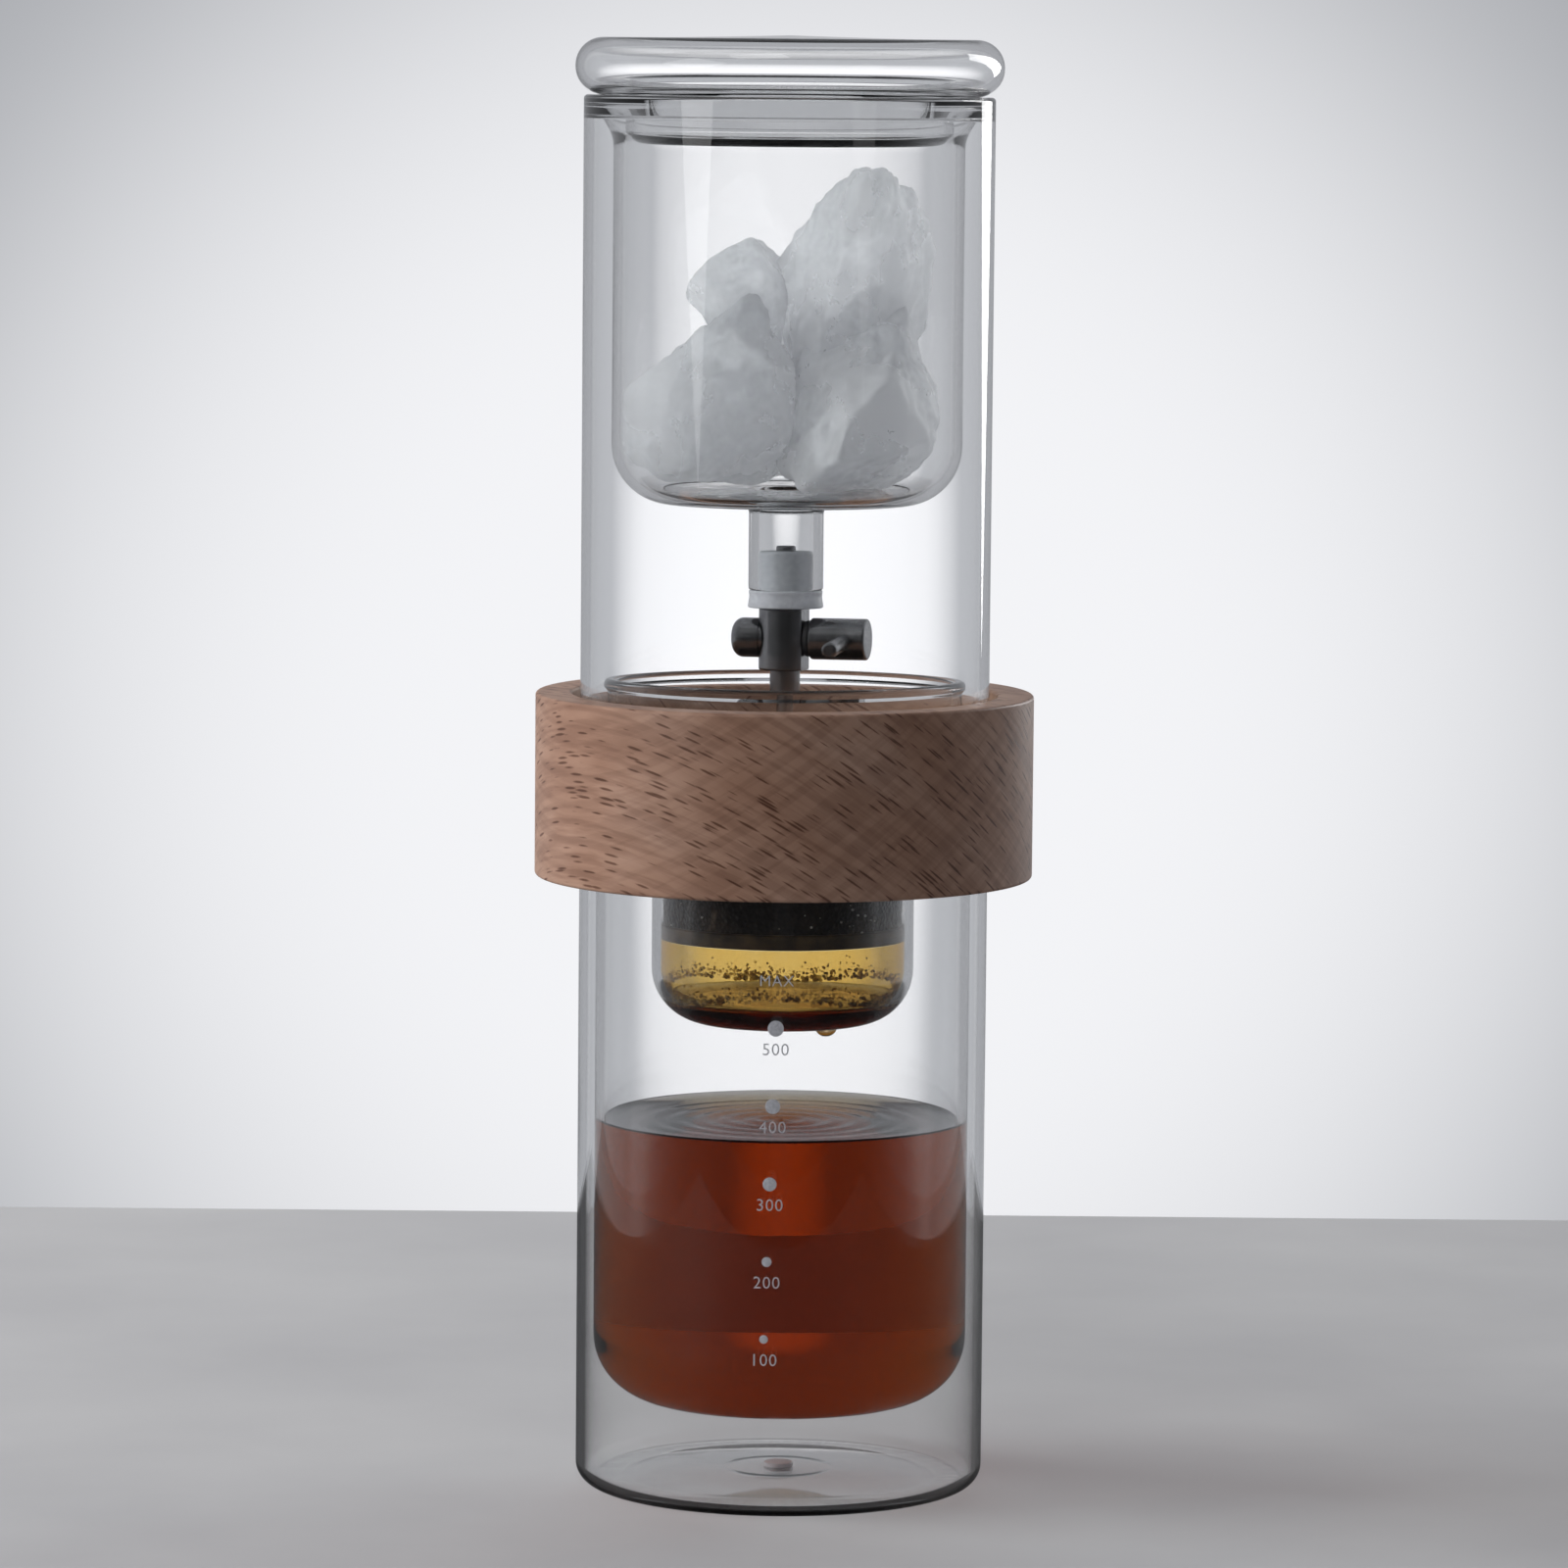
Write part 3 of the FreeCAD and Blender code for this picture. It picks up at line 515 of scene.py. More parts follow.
def printed_text(words, size, middle_x, base_z):
    """Flat mesh of a line of text, centred on middle_x, with its base line at base_z, in millimetres."""
    curve = bpy.data.curves.new("text", "FONT")
    curve.body = words
    curve.size = size
    curve.align_x = "CENTER"
    curve.extrude = print_height / 2
    curve.offset = -0.02
    curve.space_character = 1.08
    curve.resolution_u = 3
    holder = bpy.data.objects.new("text", curve)
    bpy.context.collection.objects.link(holder)
    bpy.context.view_layer.update()
    mesh = bpy.data.meshes.new_from_object(holder.evaluated_get(bpy.context.evaluated_depsgraph_get()))
    bpy.data.objects.remove(holder)
    mesh.transform(Matrix.Translation((middle_x, base_z, print_height / 2)))
    return mesh


def printed_dot(radius, middle_x, middle_z):
    """Flat disc with a low crown, as rings of points round its middle."""
    angle = np.linspace(0, 2 * np.pi, 32, endpoint=False)
    r = np.array([0, 0.97, 1.0, 1.0, 0])[:, None] * radius
    z = np.array([1.0, 1.0, 0.8, 0, 0])[:, None] * print_height
    grid = np.stack([middle_x + r * np.cos(angle), middle_z + r * np.sin(angle), z + 0 * angle], -1)
    return grid_mesh("dot", grid[::-1], sharp=math.radians(60))


def joined(name, meshes):
    """One mesh of several."""
    edit = bmesh.new()
    for mesh in meshes:
        edit.from_mesh(mesh)
    bmesh.ops.remove_doubles(edit, verts=edit.verts, dist=1e-5)
    whole = bpy.data.meshes.new(name)
    edit.to_mesh(whole)
    edit.free()
    return whole


prints = []
for step, (volume, dot_radius) in enumerate(dot_radii.items()):
    height = scale_lowest + step * scale_step
    lean_x = print_left + step * print_lean
    prints.append(printed_dot(dot_radius, lean_x, height))
    prints.append(printed_text(str(volume), number_size, lean_x, height - number_drop - number_size * 0.72))
prints.append(printed_text("MAX", word_size, word_left, word_height))
scale_mesh = joined("printed_scale", prints)
wrapped(scale_mesh, carafe_radius + 0.02)
printed_scale = put_in_scene("printed_scale", scale_mesh, enamel())
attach(printed_scale, "carafe")


# Collar: turned from one block of beech, with the carafe's rim in its lower socket, the cup on its web
# and the water chamber in its upper socket. Oiled; the lathe left its edges just broken.
def beech():
    """Beech with its grain on tilted planes. A point's grain place is (a x, a y, z + b x + c y): the small
    share a draws marks out along the plane, and b and c tilt it. One tilt lies almost level at the left of
    the front, falls at the middle and carries short dark pores. A fainter one rises across it."""
    made, shader = material("oiled_beech", (0.40, 0.24, 0.15), 0.42)
    tree = made.node_tree

    def grain(kind, scale, draw, tilt_x, tilt_y, **settings):
        pattern = object_pattern(made, kind, scale, **settings)
        across = tree.nodes.new("ShaderNodeVectorMath")
        across.operation = "DOT_PRODUCT"
        across.inputs[1].default_value = (tilt_x, tilt_y, 1)
        along = tree.nodes.new("ShaderNodeVectorMath")
        along.operation = "MULTIPLY"
        along.inputs[1].default_value = (draw, draw, 0)
        whole = tree.nodes.new("ShaderNodeVectorMath")
        whole.operation = "ADD"
        lift = tree.nodes.new("ShaderNodeCombineXYZ")
        place = pattern.inputs["Vector"].links[0].from_socket
        tree.links.new(place, across.inputs[0])
        tree.links.new(place, along.inputs[0])
        tree.links.new(across.outputs["Value"], lift.inputs["Z"])
        tree.links.new(along.outputs["Vector"], whole.inputs[0])
        tree.links.new(lift.outputs["Vector"], whole.inputs[1])
        tree.links.new(whole.outputs["Vector"], pattern.inputs["Vector"])
        return pattern

    bands = grain("ShaderNodeTexNoise", 60.0, 0.5, 0.58, 0.45, Detail=4.0)
    fibre = grain("ShaderNodeTexNoise", 520.0, 0.09, 0.58, 0.45, Detail=3.0)
    pores = grain("ShaderNodeTexVoronoi", 900.0, 0.13, 0.58, 0.45)
    rising = grain("ShaderNodeTexNoise", 420.0, 0.10, -0.7, -0.4, Detail=3.0)
    scatter = object_pattern(made, "ShaderNodeTexNoise", 90.0, Detail=3.0)
    tone = ramp(made, bands.outputs["Fac"], [
        (0.3, (0.300, 0.165, 0.110)), (0.5, (0.365, 0.215, 0.150)), (0.7, (0.425, 0.270, 0.200))])
    fibre_tone = ramp(made, fibre.outputs["Fac"], [(0.40, (0.66, 0.60, 0.58)), (0.56, (1, 1, 1))])
    nearer = tree.nodes.new("ShaderNodeMath")
    nearer.operation = "ADD"
    tree.links.new(pores.outputs["Distance"], nearer.inputs[0])
    tree.links.new(span(made, scatter.outputs["Fac"], 0.0, 0.25, 0.45, 0.7), nearer.inputs[1])
    pore_tone = ramp(made, nearer.outputs[0], [(0.22, (0.30, 0.21, 0.17)), (0.36, (1, 1, 1))])
    rising_tone = ramp(made, rising.outputs["Fac"], [(0.42, (0.72, 0.68, 0.66)), (0.56, (1, 1, 1))])
    result = tone
    for layer, share in ((fibre_tone, 0.6), (pore_tone, 0.9), (rising_tone, 0.5)):
        mix = tree.nodes.new("ShaderNodeMix")
        mix.data_type = "RGBA"
        mix.blend_type = "MULTIPLY"
        mix.inputs["Factor"].default_value = share
        tree.links.new(result, mix.inputs["A"])
        tree.links.new(layer, mix.inputs["B"])
        result = mix.outputs["Result"]
    tree.links.new(result, shader.inputs["Base Color"])
    tree.links.new(span(made, bands.outputs["Fac"], 0.34, 0.52), shader.inputs["Roughness"])
    bump(made, shader, fibre.outputs["Fac"], 0.25, 0.0003)
    return made


collar_low, collar_high = (corner[2] * 1000 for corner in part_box("wooden_collar"))
collar_radius, edge_break = 58.48, 0.8
web_low = carafe_top
web_high = web_low + 6.0
chamber_seat = collar_high - 8.0
collar = put_in_scene("collar", turned("collar", [
    (collar_radius, collar_low, edge_break),
    (collar_radius, collar_high, edge_break),
    (50.0, collar_high, edge_break),
    (50.0, chamber_seat),
    (43.0, chamber_seat, edge_break),
    (43.0, web_high),
    (33.0, web_high, edge_break),
    (33.0, web_low, edge_break),
    (49.0, web_low),
    (49.0, collar_low, edge_break),
], closed=True, around=256), beech())
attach(collar, "collar")
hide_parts("wooden_collar")


# Drip cup: stepped glass cup that hangs on the collar's web by its shoulder. Drops leave it through small
# holes in its floor.
cup_low, cup_high = (corner[2] * 1000 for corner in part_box("drip_cup_glass"))
cup_wall, cup_corner = 2.0, 11
cup_radius, bowl_radius = 30.8, 41.5
rim_bead, rim_swell = 2.8, 0.8
cup_bore = cup_radius - cup_wall
cup_floor = cup_low + cup_wall
cup = put_in_scene("cup", turned("cup", [
    (0, cup_low),
    (cup_radius, cup_low, cup_corner + cup_wall),
    (cup_radius, web_high, 3),
    (bowl_radius, web_high, 5),
    (bowl_radius, cup_high - rim_bead),
    (bowl_radius + rim_swell, cup_high - rim_bead + rim_swell),
    (bowl_radius + rim_swell, cup_high, 1.25),
    (bowl_radius - cup_wall, cup_high, 1.25),
    (bowl_radius - cup_wall, web_high + cup_wall, 3),
    (cup_bore, web_high + cup_wall, 5),
    (cup_bore, cup_floor, cup_corner),
    (0, cup_floor),
], around=192), glass)
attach(cup, "drip_cup")
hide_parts("drip_cup_glass")


# Wet film, pool, froth and drops of the cup: coffee that has run through the filter stains the wall
# amber, stands brown on the floor, froths where it meets the glass and hangs under the holes.
def amber_film():
    """Amber wet: a see-through stain in uneven runs, with a faint gloss."""
    made, shader = material("amber_wet", (0.62, 0.40, 0.12), 0.12)
    tree = made.node_tree
    streak = object_pattern(made, "ShaderNodeTexNoise", 90.0, stretch=(1, 1, 0.5), Detail=4.0)
    beads = object_pattern(made, "ShaderNodeTexVoronoi", 700.0)
    bump(made, shader, beads.outputs["Distance"], 0.4, 0.0003)
    stain = tree.nodes.new("ShaderNodeBsdfTransparent")
    tone = ramp(made, streak.outputs["Fac"], [(0.3, (0.965, 0.860, 0.580)), (0.7, (0.990, 0.915, 0.700))])
    tree.links.new(tone, stain.inputs["Color"])
    mix = tree.nodes.new("ShaderNodeMixShader")
    tree.links.new(span(made, streak.outputs["Fac"], 0.03, 0.10), mix.inputs[0])
    tree.links.new(stain.outputs[0], mix.inputs[1])
    tree.links.new(shader.outputs[0], mix.inputs[2])
    tree.links.new(mix.outputs[0], tree.nodes["Material Output"].inputs["Surface"])
    return made


filter_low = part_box("filter_plate")[0][2] * 1000
film_gap, film_thick = 0.05, 0.25
film_top = filter_low - 1.5
pool_wet_in = 0.2
pool_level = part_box("cup_coffee")[1][2] * 1000 - 0.5


def cup_inside(inset):
    """Outline of the cup's inside up to the filter: floor, corner and wall, moved in by the inset."""
    return corner_arcs([(0, cup_floor + inset), (cup_bore - inset, cup_floor + inset, cup_corner),
                        (cup_bore - inset, film_top)], step=math.radians(3))


film_outer, film_inner = (line[line[:, 1] > pool_level - 0.5] for line in (
    cup_inside(film_gap), cup_inside(film_gap + film_thick)))
film = put_in_scene("cup_wet_film", turned("cup_wet_film", [*film_outer, *film_inner[::-1]], closed=True,
                                           around=128), amber_film())
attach(film, "drip_cup")

pool_outline = cup_inside(-pool_wet_in)
pool_edge = np.interp(pool_level, pool_outline[:, 1], pool_outline[:, 0])
pool_outline = pool_outline[pool_outline[:, 1] < pool_level - 0.05]
angles = np.linspace(0, 2 * np.pi, 128, endpoint=False)
pool_rings = np.linspace(pool_edge, 0, 30)[:, None]
pool_top = pool_level + 0.3 * np.exp((pool_rings - pool_edge) / 1.6)
pool_top = pool_top + 0.15 * np.sin(5 * angles) * pool_rings / 29
pool_r = np.concatenate([pool_outline[:, :1], pool_rings])
pool_z = np.concatenate([pool_outline[:, 1:] + 0 * angles, pool_top])
pool_grid = np.stack([pool_r * np.cos(angles), pool_r * np.sin(angles), pool_z], -1) / 1000
pool = put_in_scene("cup_pool", grid_mesh("cup_pool", pool_grid), coffee_liquid("cup_coffee", 2.2))
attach(pool, "drip_cup")
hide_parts("cup_coffee")


def beads_mesh(name, middles, radii, squash, sides=10, rings=6):
    """Many small eggs in one mesh: unit spheres on a grid, scaled and moved by arrays."""
    tilt = np.linspace(0, np.pi, rings + 1)[:, None]
    turn = np.linspace(0, 2 * np.pi, sides, endpoint=False)
    ball = np.stack([np.sin(tilt) * np.cos(turn), np.sin(tilt) * np.sin(turn), np.cos(tilt) + 0 * turn], -1)
    ball = ball[::-1].reshape(-1, 3)
    points = middles[:, None] + ball[None] * (radii[:, None] * squash)[:, None]
    i, j = np.meshgrid(np.arange(rings), np.arange(sides), indexing="ij")
    j2 = (j + 1) % sides
    quads = np.stack([i * sides + j, i * sides + j2, (i + 1) * sides + j2, (i + 1) * sides + j], -1)
    quads = quads.reshape(-1, 4)
    quads = (quads[None] + (np.arange(len(middles)) * len(ball))[:, None, None]).reshape(-1, 4)
    mesh = bpy.data.meshes.new(name)
    mesh.from_pydata((points / 1000).reshape(-1, 3).tolist(), [], quads.tolist())
    edit = bmesh.new()
    edit.from_mesh(mesh)
    bmesh.ops.remove_doubles(edit, verts=edit.verts, dist=1e-8)
    edit.to_mesh(mesh)
    edit.free()
    mesh.shade_smooth()
    return mesh


rng = np.random.default_rng(7)
froth_count = 1500
froth_angle = rng.uniform(0, 2 * np.pi, froth_count)
froth_climb = np.abs(rng.normal(0.2, 1.6, froth_count)) + 1.2 * np.sin(3 * froth_angle) + 1.2
froth_radius = rng.uniform(0.2, 0.75, froth_count) / (1 + 0.25 * froth_climb)
froth_height = pool_level + froth_climb
froth_wall = np.interp(froth_height, cup_inside(0)[:, 1], cup_inside(0)[:, 0]) - froth_radius
froth_place = np.stack([froth_wall * np.cos(froth_angle), froth_wall * np.sin(froth_angle), froth_height], 1)
froth_made, froth_shader = material("coffee_froth", (0.78, 0.56, 0.30), 0.08, clear=0.9, index=1.30)
froth_spots = object_pattern(froth_made, "ShaderNodeTexNoise", 400.0)
froth_tone = ramp(froth_made, froth_spots.outputs["Fac"], [
    (0.4, (0.30, 0.17, 0.07)), (0.6, (0.95, 0.82, 0.52))])
froth_made.node_tree.links.new(froth_tone, froth_shader.inputs["Base Color"])
froth = put_in_scene("cup_froth", beads_mesh("cup_froth", froth_place, froth_radius, np.ones(3)), froth_made)
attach(froth, "drip_cup")

drop_middles = np.array([[10.3, -6.0, cup_low - 0.5], [8.1, -5.0, cup_low - 0.3]])
hanging = put_in_scene("hanging_drops", beads_mesh(
    "hanging_drops", drop_middles, np.array([2.6, 1.3]), np.array([1.0, 1.0, 0.85]), sides=32, rings=20),
    coffee_liquid("hanging_drop", 1.5))
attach(hanging, "drip_cup")


# Filter: perforated steel plate in a silicone ring. The ring's grip on the cup's wall carries the grounds.
def bright_steel(name, tone, rough):
    """Polished steel with fine turning marks and a slight unevenness of shine."""
    made, shader = material(name, tone, rough, metal=1.0)
    marks = object_pattern(made, "ShaderNodeTexNoise", 900.0, stretch=(0.4, 0.4, 4.0), Detail=3.0)
    clouds = object_pattern(made, "ShaderNodeTexNoise", 160.0, Detail=2.0)
    dark = tuple(0.82 * part for part in tone)
    colour = ramp(made, clouds.outputs["Fac"], [(0.3, dark), (0.7, tone)])
    made.node_tree.links.new(colour, shader.inputs["Base Color"])
    shine = span(made, clouds.outputs["Fac"], rough * 0.7, rough * 1.5)
    made.node_tree.links.new(shine, shader.inputs["Roughness"])
    bump(made, shader, marks.outputs["Fac"], 0.08, 0.0001)
    return made


def dress(node, made):
    """Gives a CAD node's own mesh a material in place of the one it came with."""
    thing = nodes[node]
    thing.data.materials.clear()
    thing.data.materials.append(made)


dress("filter_plate", bright_steel("filter_steel", (0.55, 0.55, 0.56), 0.3))


def stained_silicone():
    """Silicone that coffee has stained brown-black, wet and uneven."""
    made, shader = material("stained_silicone", (0.05, 0.03, 0.018), 0.3)
    blotch = object_pattern(made, "ShaderNodeTexNoise", 220.0, Detail=4.0)
    tone = ramp(made, blotch.outputs["Fac"], [(0.35, (0.020, 0.012, 0.008)), (0.7, (0.085, 0.050, 0.026))])
    made.node_tree.links.new(tone, shader.inputs["Base Color"])
    bump(made, shader, blotch.outputs["Fac"], 0.3, 0.0003)
    return made


dress("filter_seal", stained_silicone())


# Coffee grounds: a bed of wet, coarse powder on the filter's plate, filled in loose and tamped lightly.
# Its skin against the glass is black-brown and uneven, with paler specks.
def lattice_noise(points, size, seed):
    """Smooth noise from 0 to 1: random values at whole steps of the size, blended by cubic weights."""
    table = np.random.default_rng(seed).random((32, 32, 32))
    scaled = np.asarray(points) / size
    cell = np.floor(scaled).astype(int)
    part = scaled - cell
    part = part * part * (3 - 2 * part)
    total = 0
    for corner in np.ndindex(2, 2, 2):
        weight = np.prod(np.where(corner, part, 1 - part), -1)
        index = (cell + corner) % 32
        total = total + weight * table[index[..., 0], index[..., 1], index[..., 2]]
    return total


def wet_grounds():
    """Wet powder: near-black with brown grains and sharp small glints."""
    made, shader = material("wet_grounds", (0.02, 0.012, 0.008), 0.35)
    grains = object_pattern(made, "ShaderNodeTexVoronoi", 900.0)
    clumps = object_pattern(made, "ShaderNodeTexNoise", 160.0, Detail=5.0)
    tone = ramp(made, clumps.outputs["Fac"], [
        (0.45, (0.012, 0.008, 0.006)), (0.66, (0.035, 0.02, 0.012)), (0.8, (0.16, 0.11, 0.07))])
    made.node_tree.links.new(tone, shader.inputs["Base Color"])
    made.node_tree.links.new(span(made, clumps.outputs["Fac"], 0.2, 0.6), shader.inputs["Roughness"])
    bump(made, shader, grains.outputs["Distance"], 0.8, 0.0008)
    return made


grounds_low, grounds_high = (corner[2] * 1000 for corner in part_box("coffee_grounds"))
bed_radius = cup_bore - 0.4
bed_line = corner_arcs([(0, grounds_low), (bed_radius, grounds_low), (bed_radius, grounds_high, 1),
                        (bed_radius * 0.62, grounds_high, 6), (bed_radius * 0.2, grounds_high - 3, 6),
                        (0, grounds_high - 3)])
side = np.linspace(grounds_low, grounds_high - 1.2, 34)
bed_line = np.concatenate([bed_line[:1], np.stack([bed_radius + 0 * side, side], 1), bed_line[2:]])
bed_angles = np.linspace(0, 2 * np.pi, 240, endpoint=False)
bed_grid = np.stack([bed_line[:, :1] * np.cos(bed_angles), bed_line[:, :1] * np.sin(bed_angles),
                     bed_line[:, 1:] + 0 * bed_angles], -1)
rough_bed = lattice_noise(bed_grid + 400, 1.3, 3) + 0.6 * lattice_noise(bed_grid + 400, 3.4, 4) - 0.8
bed_grid[..., :2] *= (1 - 0.016 * (rough_bed[..., None] + 0.8))
bed_edge = bed_line[:, 1:] < grounds_low + 0.01
bed_grid[..., 2] += np.where(bed_edge, 0, 0.5 * rough_bed * (bed_line[:, 1:] > grounds_high - 4))
grounds = put_in_scene("grounds", grid_mesh("grounds", bed_grid / 1000, sharp=math.pi), wet_grounds())
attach(grounds, "filter")
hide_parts("coffee_grounds")


# Glints: small beads between the powder and the glass, in place of drops of water that catch the light.
# Their near-white colour is a painted highlight, and their low roughness adds real gloss. They move with the
# bed.
glint_count = 170
glint_angle = rng.uniform(0, 2 * np.pi, glint_count)
glint_radius = rng.uniform(0.12, 0.34, glint_count)
glint_height = rng.uniform(grounds_low + 1.5, grounds_high - 2, glint_count)
glint_place = np.stack([(bed_radius - 0.1) * np.cos(glint_angle), (bed_radius - 0.1) * np.sin(glint_angle),
                        glint_height], 1)
# Near-white colour in spots: a painted highlight, standing in for the glints of clear drops.
glint_made, glint_shader = material("painted_glint_beads", (0.9, 0.86, 0.8), 0.15)
glint_spots = object_pattern(glint_made, "ShaderNodeTexNoise", 300.0)
glint_tone = ramp(glint_made, glint_spots.outputs["Fac"], [
    (0.4, (0.20, 0.17, 0.14)), (0.6, (0.80, 0.78, 0.75))])
glint_made.node_tree.links.new(glint_tone, glint_shader.inputs["Base Color"])
glints = put_in_scene("grounds_glints", beads_mesh("grounds_glints", glint_place, glint_radius, np.ones(3)),
                      glint_made)
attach(glints, "filter")


# Water chamber: one piece of glass. The outer tube stands in the collar; the ice well hangs in it from
# the fused rim, and the neck under the well takes the stopper.
chamber_low, chamber_high = (corner[2] * 1000 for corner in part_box("chamber_glass"))
chamber_radius, chamber_wall = 48.0, 2.2
well_bore, well_wall, well_corner = 39.0, 2.0, 12
well_low = chamber_low + 52.9
well_floor = well_low + well_wall
flare_foot = chamber_high - 10.6
neck_radius, neck_bore = 8.75, 6.45
neck_end = well_low - 19.7
chamber = put_in_scene("chamber", turned("chamber", [
    (chamber_radius, chamber_low, 0.6),
    (chamber_radius, chamber_high, 1.0),
    (chamber_radius - 3.4, chamber_high, 1.0),
    (well_bore, flare_foot, 7),
    (well_bore, well_floor, well_corner),
    (neck_bore, well_floor, 2),
    (neck_bore, neck_end, 0.7),
    (neck_radius, neck_end, 0.7),
    (neck_radius, well_low, 2),
    (well_bore + well_wall, well_low, well_corner + well_wall),
    (well_bore + well_wall, flare_foot + 1, 9),
    (chamber_radius - chamber_wall, chamber_high - 2.2, 1.0),
    (chamber_radius - chamber_wall, chamber_low, 0.6),
], closed=True, around=224), glass)
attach(chamber, "water_chamber")
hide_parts("chamber_glass")


# Ice: broken lumps, clear at the skin and cloudy inside, piled in the well and wet at the foot.
def cloudy_ice():
    """Ice: a clear wet skin over white haze that thickens in clouds, with cracks as fine ridges."""
    made, shader = material("cloudy_ice", (0.93, 0.95, 0.97), 0.12, clear=0.92, index=1.31)
    tree = made.node_tree
    haze = object_pattern(made, "ShaderNodeTexNoise", 45.0, Detail=6.0, Roughness=0.6)
    ridges = object_pattern(made, "ShaderNodeTexVoronoi", 110.0, feature="DISTANCE_TO_EDGE")
    fine = object_pattern(made, "ShaderNodeTexNoise", 150.0, Detail=4.0)
    tree.links.new(span(made, haze.outputs["Fac"], 0.05, 0.45, 0.3, 0.7), shader.inputs["Roughness"])
    height = tree.nodes.new("ShaderNodeMath")
    height.operation = "MULTIPLY_ADD"
    height.inputs[1].default_value = 0.3
    tree.links.new(ridges.outputs["Distance"], height.inputs[0])
    tree.links.new(fine.outputs["Fac"], height.inputs[2])
    rise = bump(made, shader, height.outputs[0], 0.22, 0.0012)
    cloud = tree.nodes.new("ShaderNodeBsdfDiffuse")
    cloud.inputs["Color"].default_value = (0.78, 0.78, 0.795, 1)
    tree.links.new(rise.outputs["Normal"], cloud.inputs["Normal"])
    glow = tree.nodes.new("ShaderNodeBsdfTranslucent")
    glow.inputs["Color"].default_value = (0.93, 0.925, 0.94, 1)
    inside = tree.nodes.new("ShaderNodeMixShader")
    inside.inputs[0].default_value = 0.68
    tree.links.new(cloud.outputs[0], inside.inputs[1])
    tree.links.new(glow.outputs[0], inside.inputs[2])
    mix = tree.nodes.new("ShaderNodeMixShader")
    tree.links.new(span(made, haze.outputs["Fac"], 0.35, 0.7, 0.38, 0.62), mix.inputs[0])
    tree.links.new(shader.outputs[0], mix.inputs[1])
    tree.links.new(inside.outputs[0], mix.inputs[2])
    tree.links.new(mix.outputs[0], tree.nodes["Material Output"].inputs["Surface"])
    return made


lump_gap = 0.4


def ice_lump(name, middle, half_size, seed, faces=20):
    """Broken lump: along each direction the surface is where the first of many random planes is met. A
    smooth minimum rounds the edges as melting does, and noise roughens the skin. The foot is pressed flat
    on the well's floor, and the sides keep inside its corner and wall."""
    random = np.random.default_rng(seed)
    tilt = np.linspace(0, np.pi, 88)[:, None]
    turn = np.linspace(0, 2 * np.pi, 140, endpoint=False)
    way = np.stack([np.sin(tilt) * np.cos(turn), np.sin(tilt) * np.sin(turn), np.cos(tilt) + 0 * turn], -1)
    way = way[::-1]
    planes = random.normal(size=(faces, 3))
    planes /= np.linalg.norm(planes, axis=1)[:, None]
    depth = random.uniform(0.80, 1.02, faces)
    facing = np.maximum(way @ planes.T, 0.05)
    sharpness = 14
    reach = (np.sum((depth / facing) ** -sharpness, -1)) ** (-1 / sharpness)
    skin = way * reach[..., None] * np.array(half_size)
    rough = lattice_noise(skin + 300, 6.0, seed) + 0.5 * lattice_noise(skin + 300, 2.4, seed + 1)
    rough += 0.22 * lattice_noise(skin + 300, 1.0, seed + 2)
    skin = skin * (0.93 + 0.12 * rough[..., None])
    place = skin + np.array(middle)
    place[..., 2] = np.maximum(place[..., 2], well_floor + lump_gap)
    out = np.hypot(place[..., 0], place[..., 1])
    corner_in = np.clip(well_corner - (place[..., 2] - well_floor), 0, well_corner)
    most = well_bore - 0.5 - (well_corner - np.sqrt(np.maximum(well_corner ** 2 - corner_in ** 2, 0)))
    place[..., :2] *= np.minimum(1, most / np.maximum(out, 1e-6))[..., None]
    return grid_mesh(name, place / 1000, sharp=math.pi)


ice = cloudy_ice()
for lump, seed in (("ice_front_left", 21), ("ice_front_right", 32), ("ice_back", 43), ("ice_round", 54),
                   ("ice_peak", 65)):
    low, high = (np.array(corner) * 1000 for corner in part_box(lump))
    broken = ice_lump(lump, (low + high) / 2, (high - low) / 2, seed)
    piece = put_in_scene(lump.replace("ice_", "lump_"), broken, ice)
    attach(piece, "water_chamber")
    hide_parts(lump)


# Melt water: a film on the well's floor round the feet of the ice, held back from the neck's mouth.
def clear_water():
    """Water: clear, with a slight unevenness of its skin."""
    made, shader = material("clear_water", (1.0, 1.0, 1.0), 0.0, clear=1.0, index=1.333)
    swell = object_pattern(made, "ShaderNodeTexNoise", 120.0, Detail=2.0)
    bump(made, shader, swell.outputs["Fac"], 0.3, 0.001)
    let_lamps_through(made, shader, (0.95, 0.97, 0.98))
    return made


water_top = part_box("melt_water")[1][2] * 1000 - 2.2
water = put_in_scene("water", turned("water", [
    (neck_bore + 2.6, well_floor + 0.1),
    (well_bore - 8.4, well_floor + 0.1, 3),
    (well_bore - 5.0, water_top, 0.3),
    (neck_bore + 3.4, water_top, 0.6),
], closed=True, around=128), clear_water())
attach(water, "water_chamber")
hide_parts("melt_water")


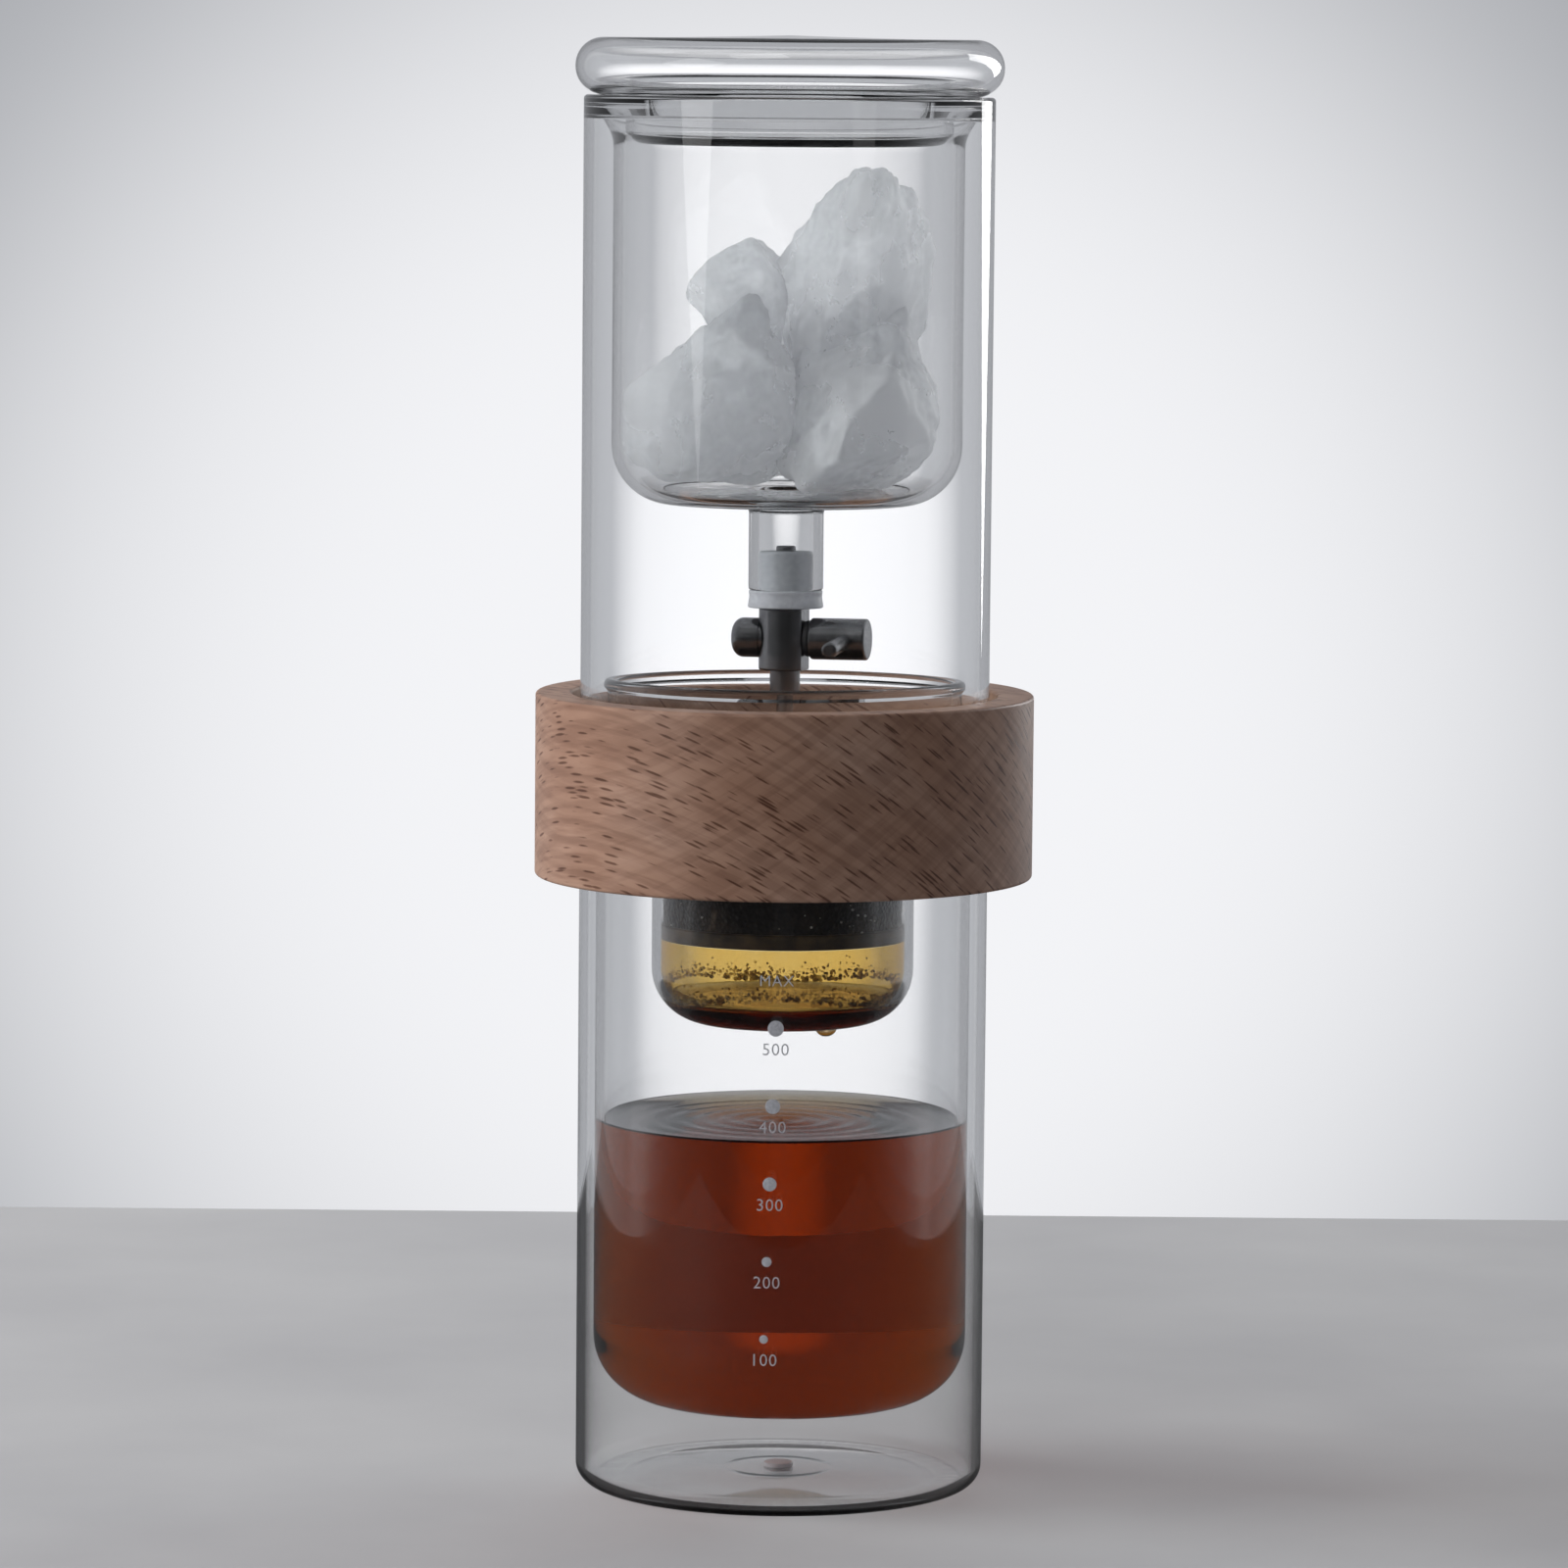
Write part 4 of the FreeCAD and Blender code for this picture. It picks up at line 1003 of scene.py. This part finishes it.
# Lid: blown hollow glass. A thick rounded bead rests on the chamber's rim and a flat plug drops into it.
lid_low, lid_high = (corner[2] * 1000 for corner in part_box("lid_glass"))
lid_radius, lid_wall, lid_dome = 50.0, 1.8, 0.7
lid_seat = chamber_high
lid_rim = lid_high - lid_dome
bead = (lid_rim - lid_seat) / 2
lid_plug = well_bore - 0.7
lid = put_in_scene("lid", joined("lid", [turned("lid_outside", [
    (0, lid_low),
    (lid_plug, lid_low, 2.4),
    (lid_plug, lid_seat, 0.8),
    (lid_radius, lid_seat, bead * 0.98),
    (lid_radius, lid_rim, bead * 0.98),
    (lid_radius * 0.6, lid_rim, lid_radius),
    (0, lid_high),
], around=224), turned("lid_inside", [
    (0, lid_high - lid_wall),
    (lid_radius * 0.6, lid_rim - lid_wall, lid_radius),
    (lid_radius - lid_wall, lid_rim - lid_wall, (bead - lid_wall) * 0.98),
    (lid_radius - lid_wall, lid_seat + lid_wall, (bead - lid_wall) * 0.98),
    (lid_plug - lid_wall, lid_seat + lid_wall, 2.6),
    (lid_plug - lid_wall, lid_low + lid_wall, 1.4),
    (0, lid_low + lid_wall),
], around=224)]), glass)
lid.data.shade_smooth()
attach(lid, "lid")
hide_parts("lid_glass")


# Drip valve: dark polished steel on a silicone stopper. The parts are turned and screwed together.
valve_steel = bright_steel("dark_polished_steel", (0.34, 0.34, 0.35), 0.2)
for node in ("inlet_tube", "valve_body", "valve_cap", "spout", "drip_nozzle", "valve_plug", "plug_clip",
             "valve_knob", "lever_pin"):
    dress(node, valve_steel)


def black_rubber():
    """Black rubber with a fine moulded grain."""
    made, shader = material("black_rubber", (0.02, 0.02, 0.02), 0.55)
    grain = object_pattern(made, "ShaderNodeTexNoise", 1200.0, Detail=2.0)
    tone = ramp(made, grain.outputs["Fac"], [(0.3, (0.014, 0.014, 0.015)), (0.7, (0.03, 0.03, 0.032))])
    made.node_tree.links.new(tone, shader.inputs["Base Color"])
    bump(made, shader, grain.outputs["Fac"], 0.3, 0.0001)
    return made


seal_rubber = black_rubber()
dress("plug_orings", seal_rubber)
dress("stem_washer", seal_rubber)
dress("valve_stopper", rubber_white)
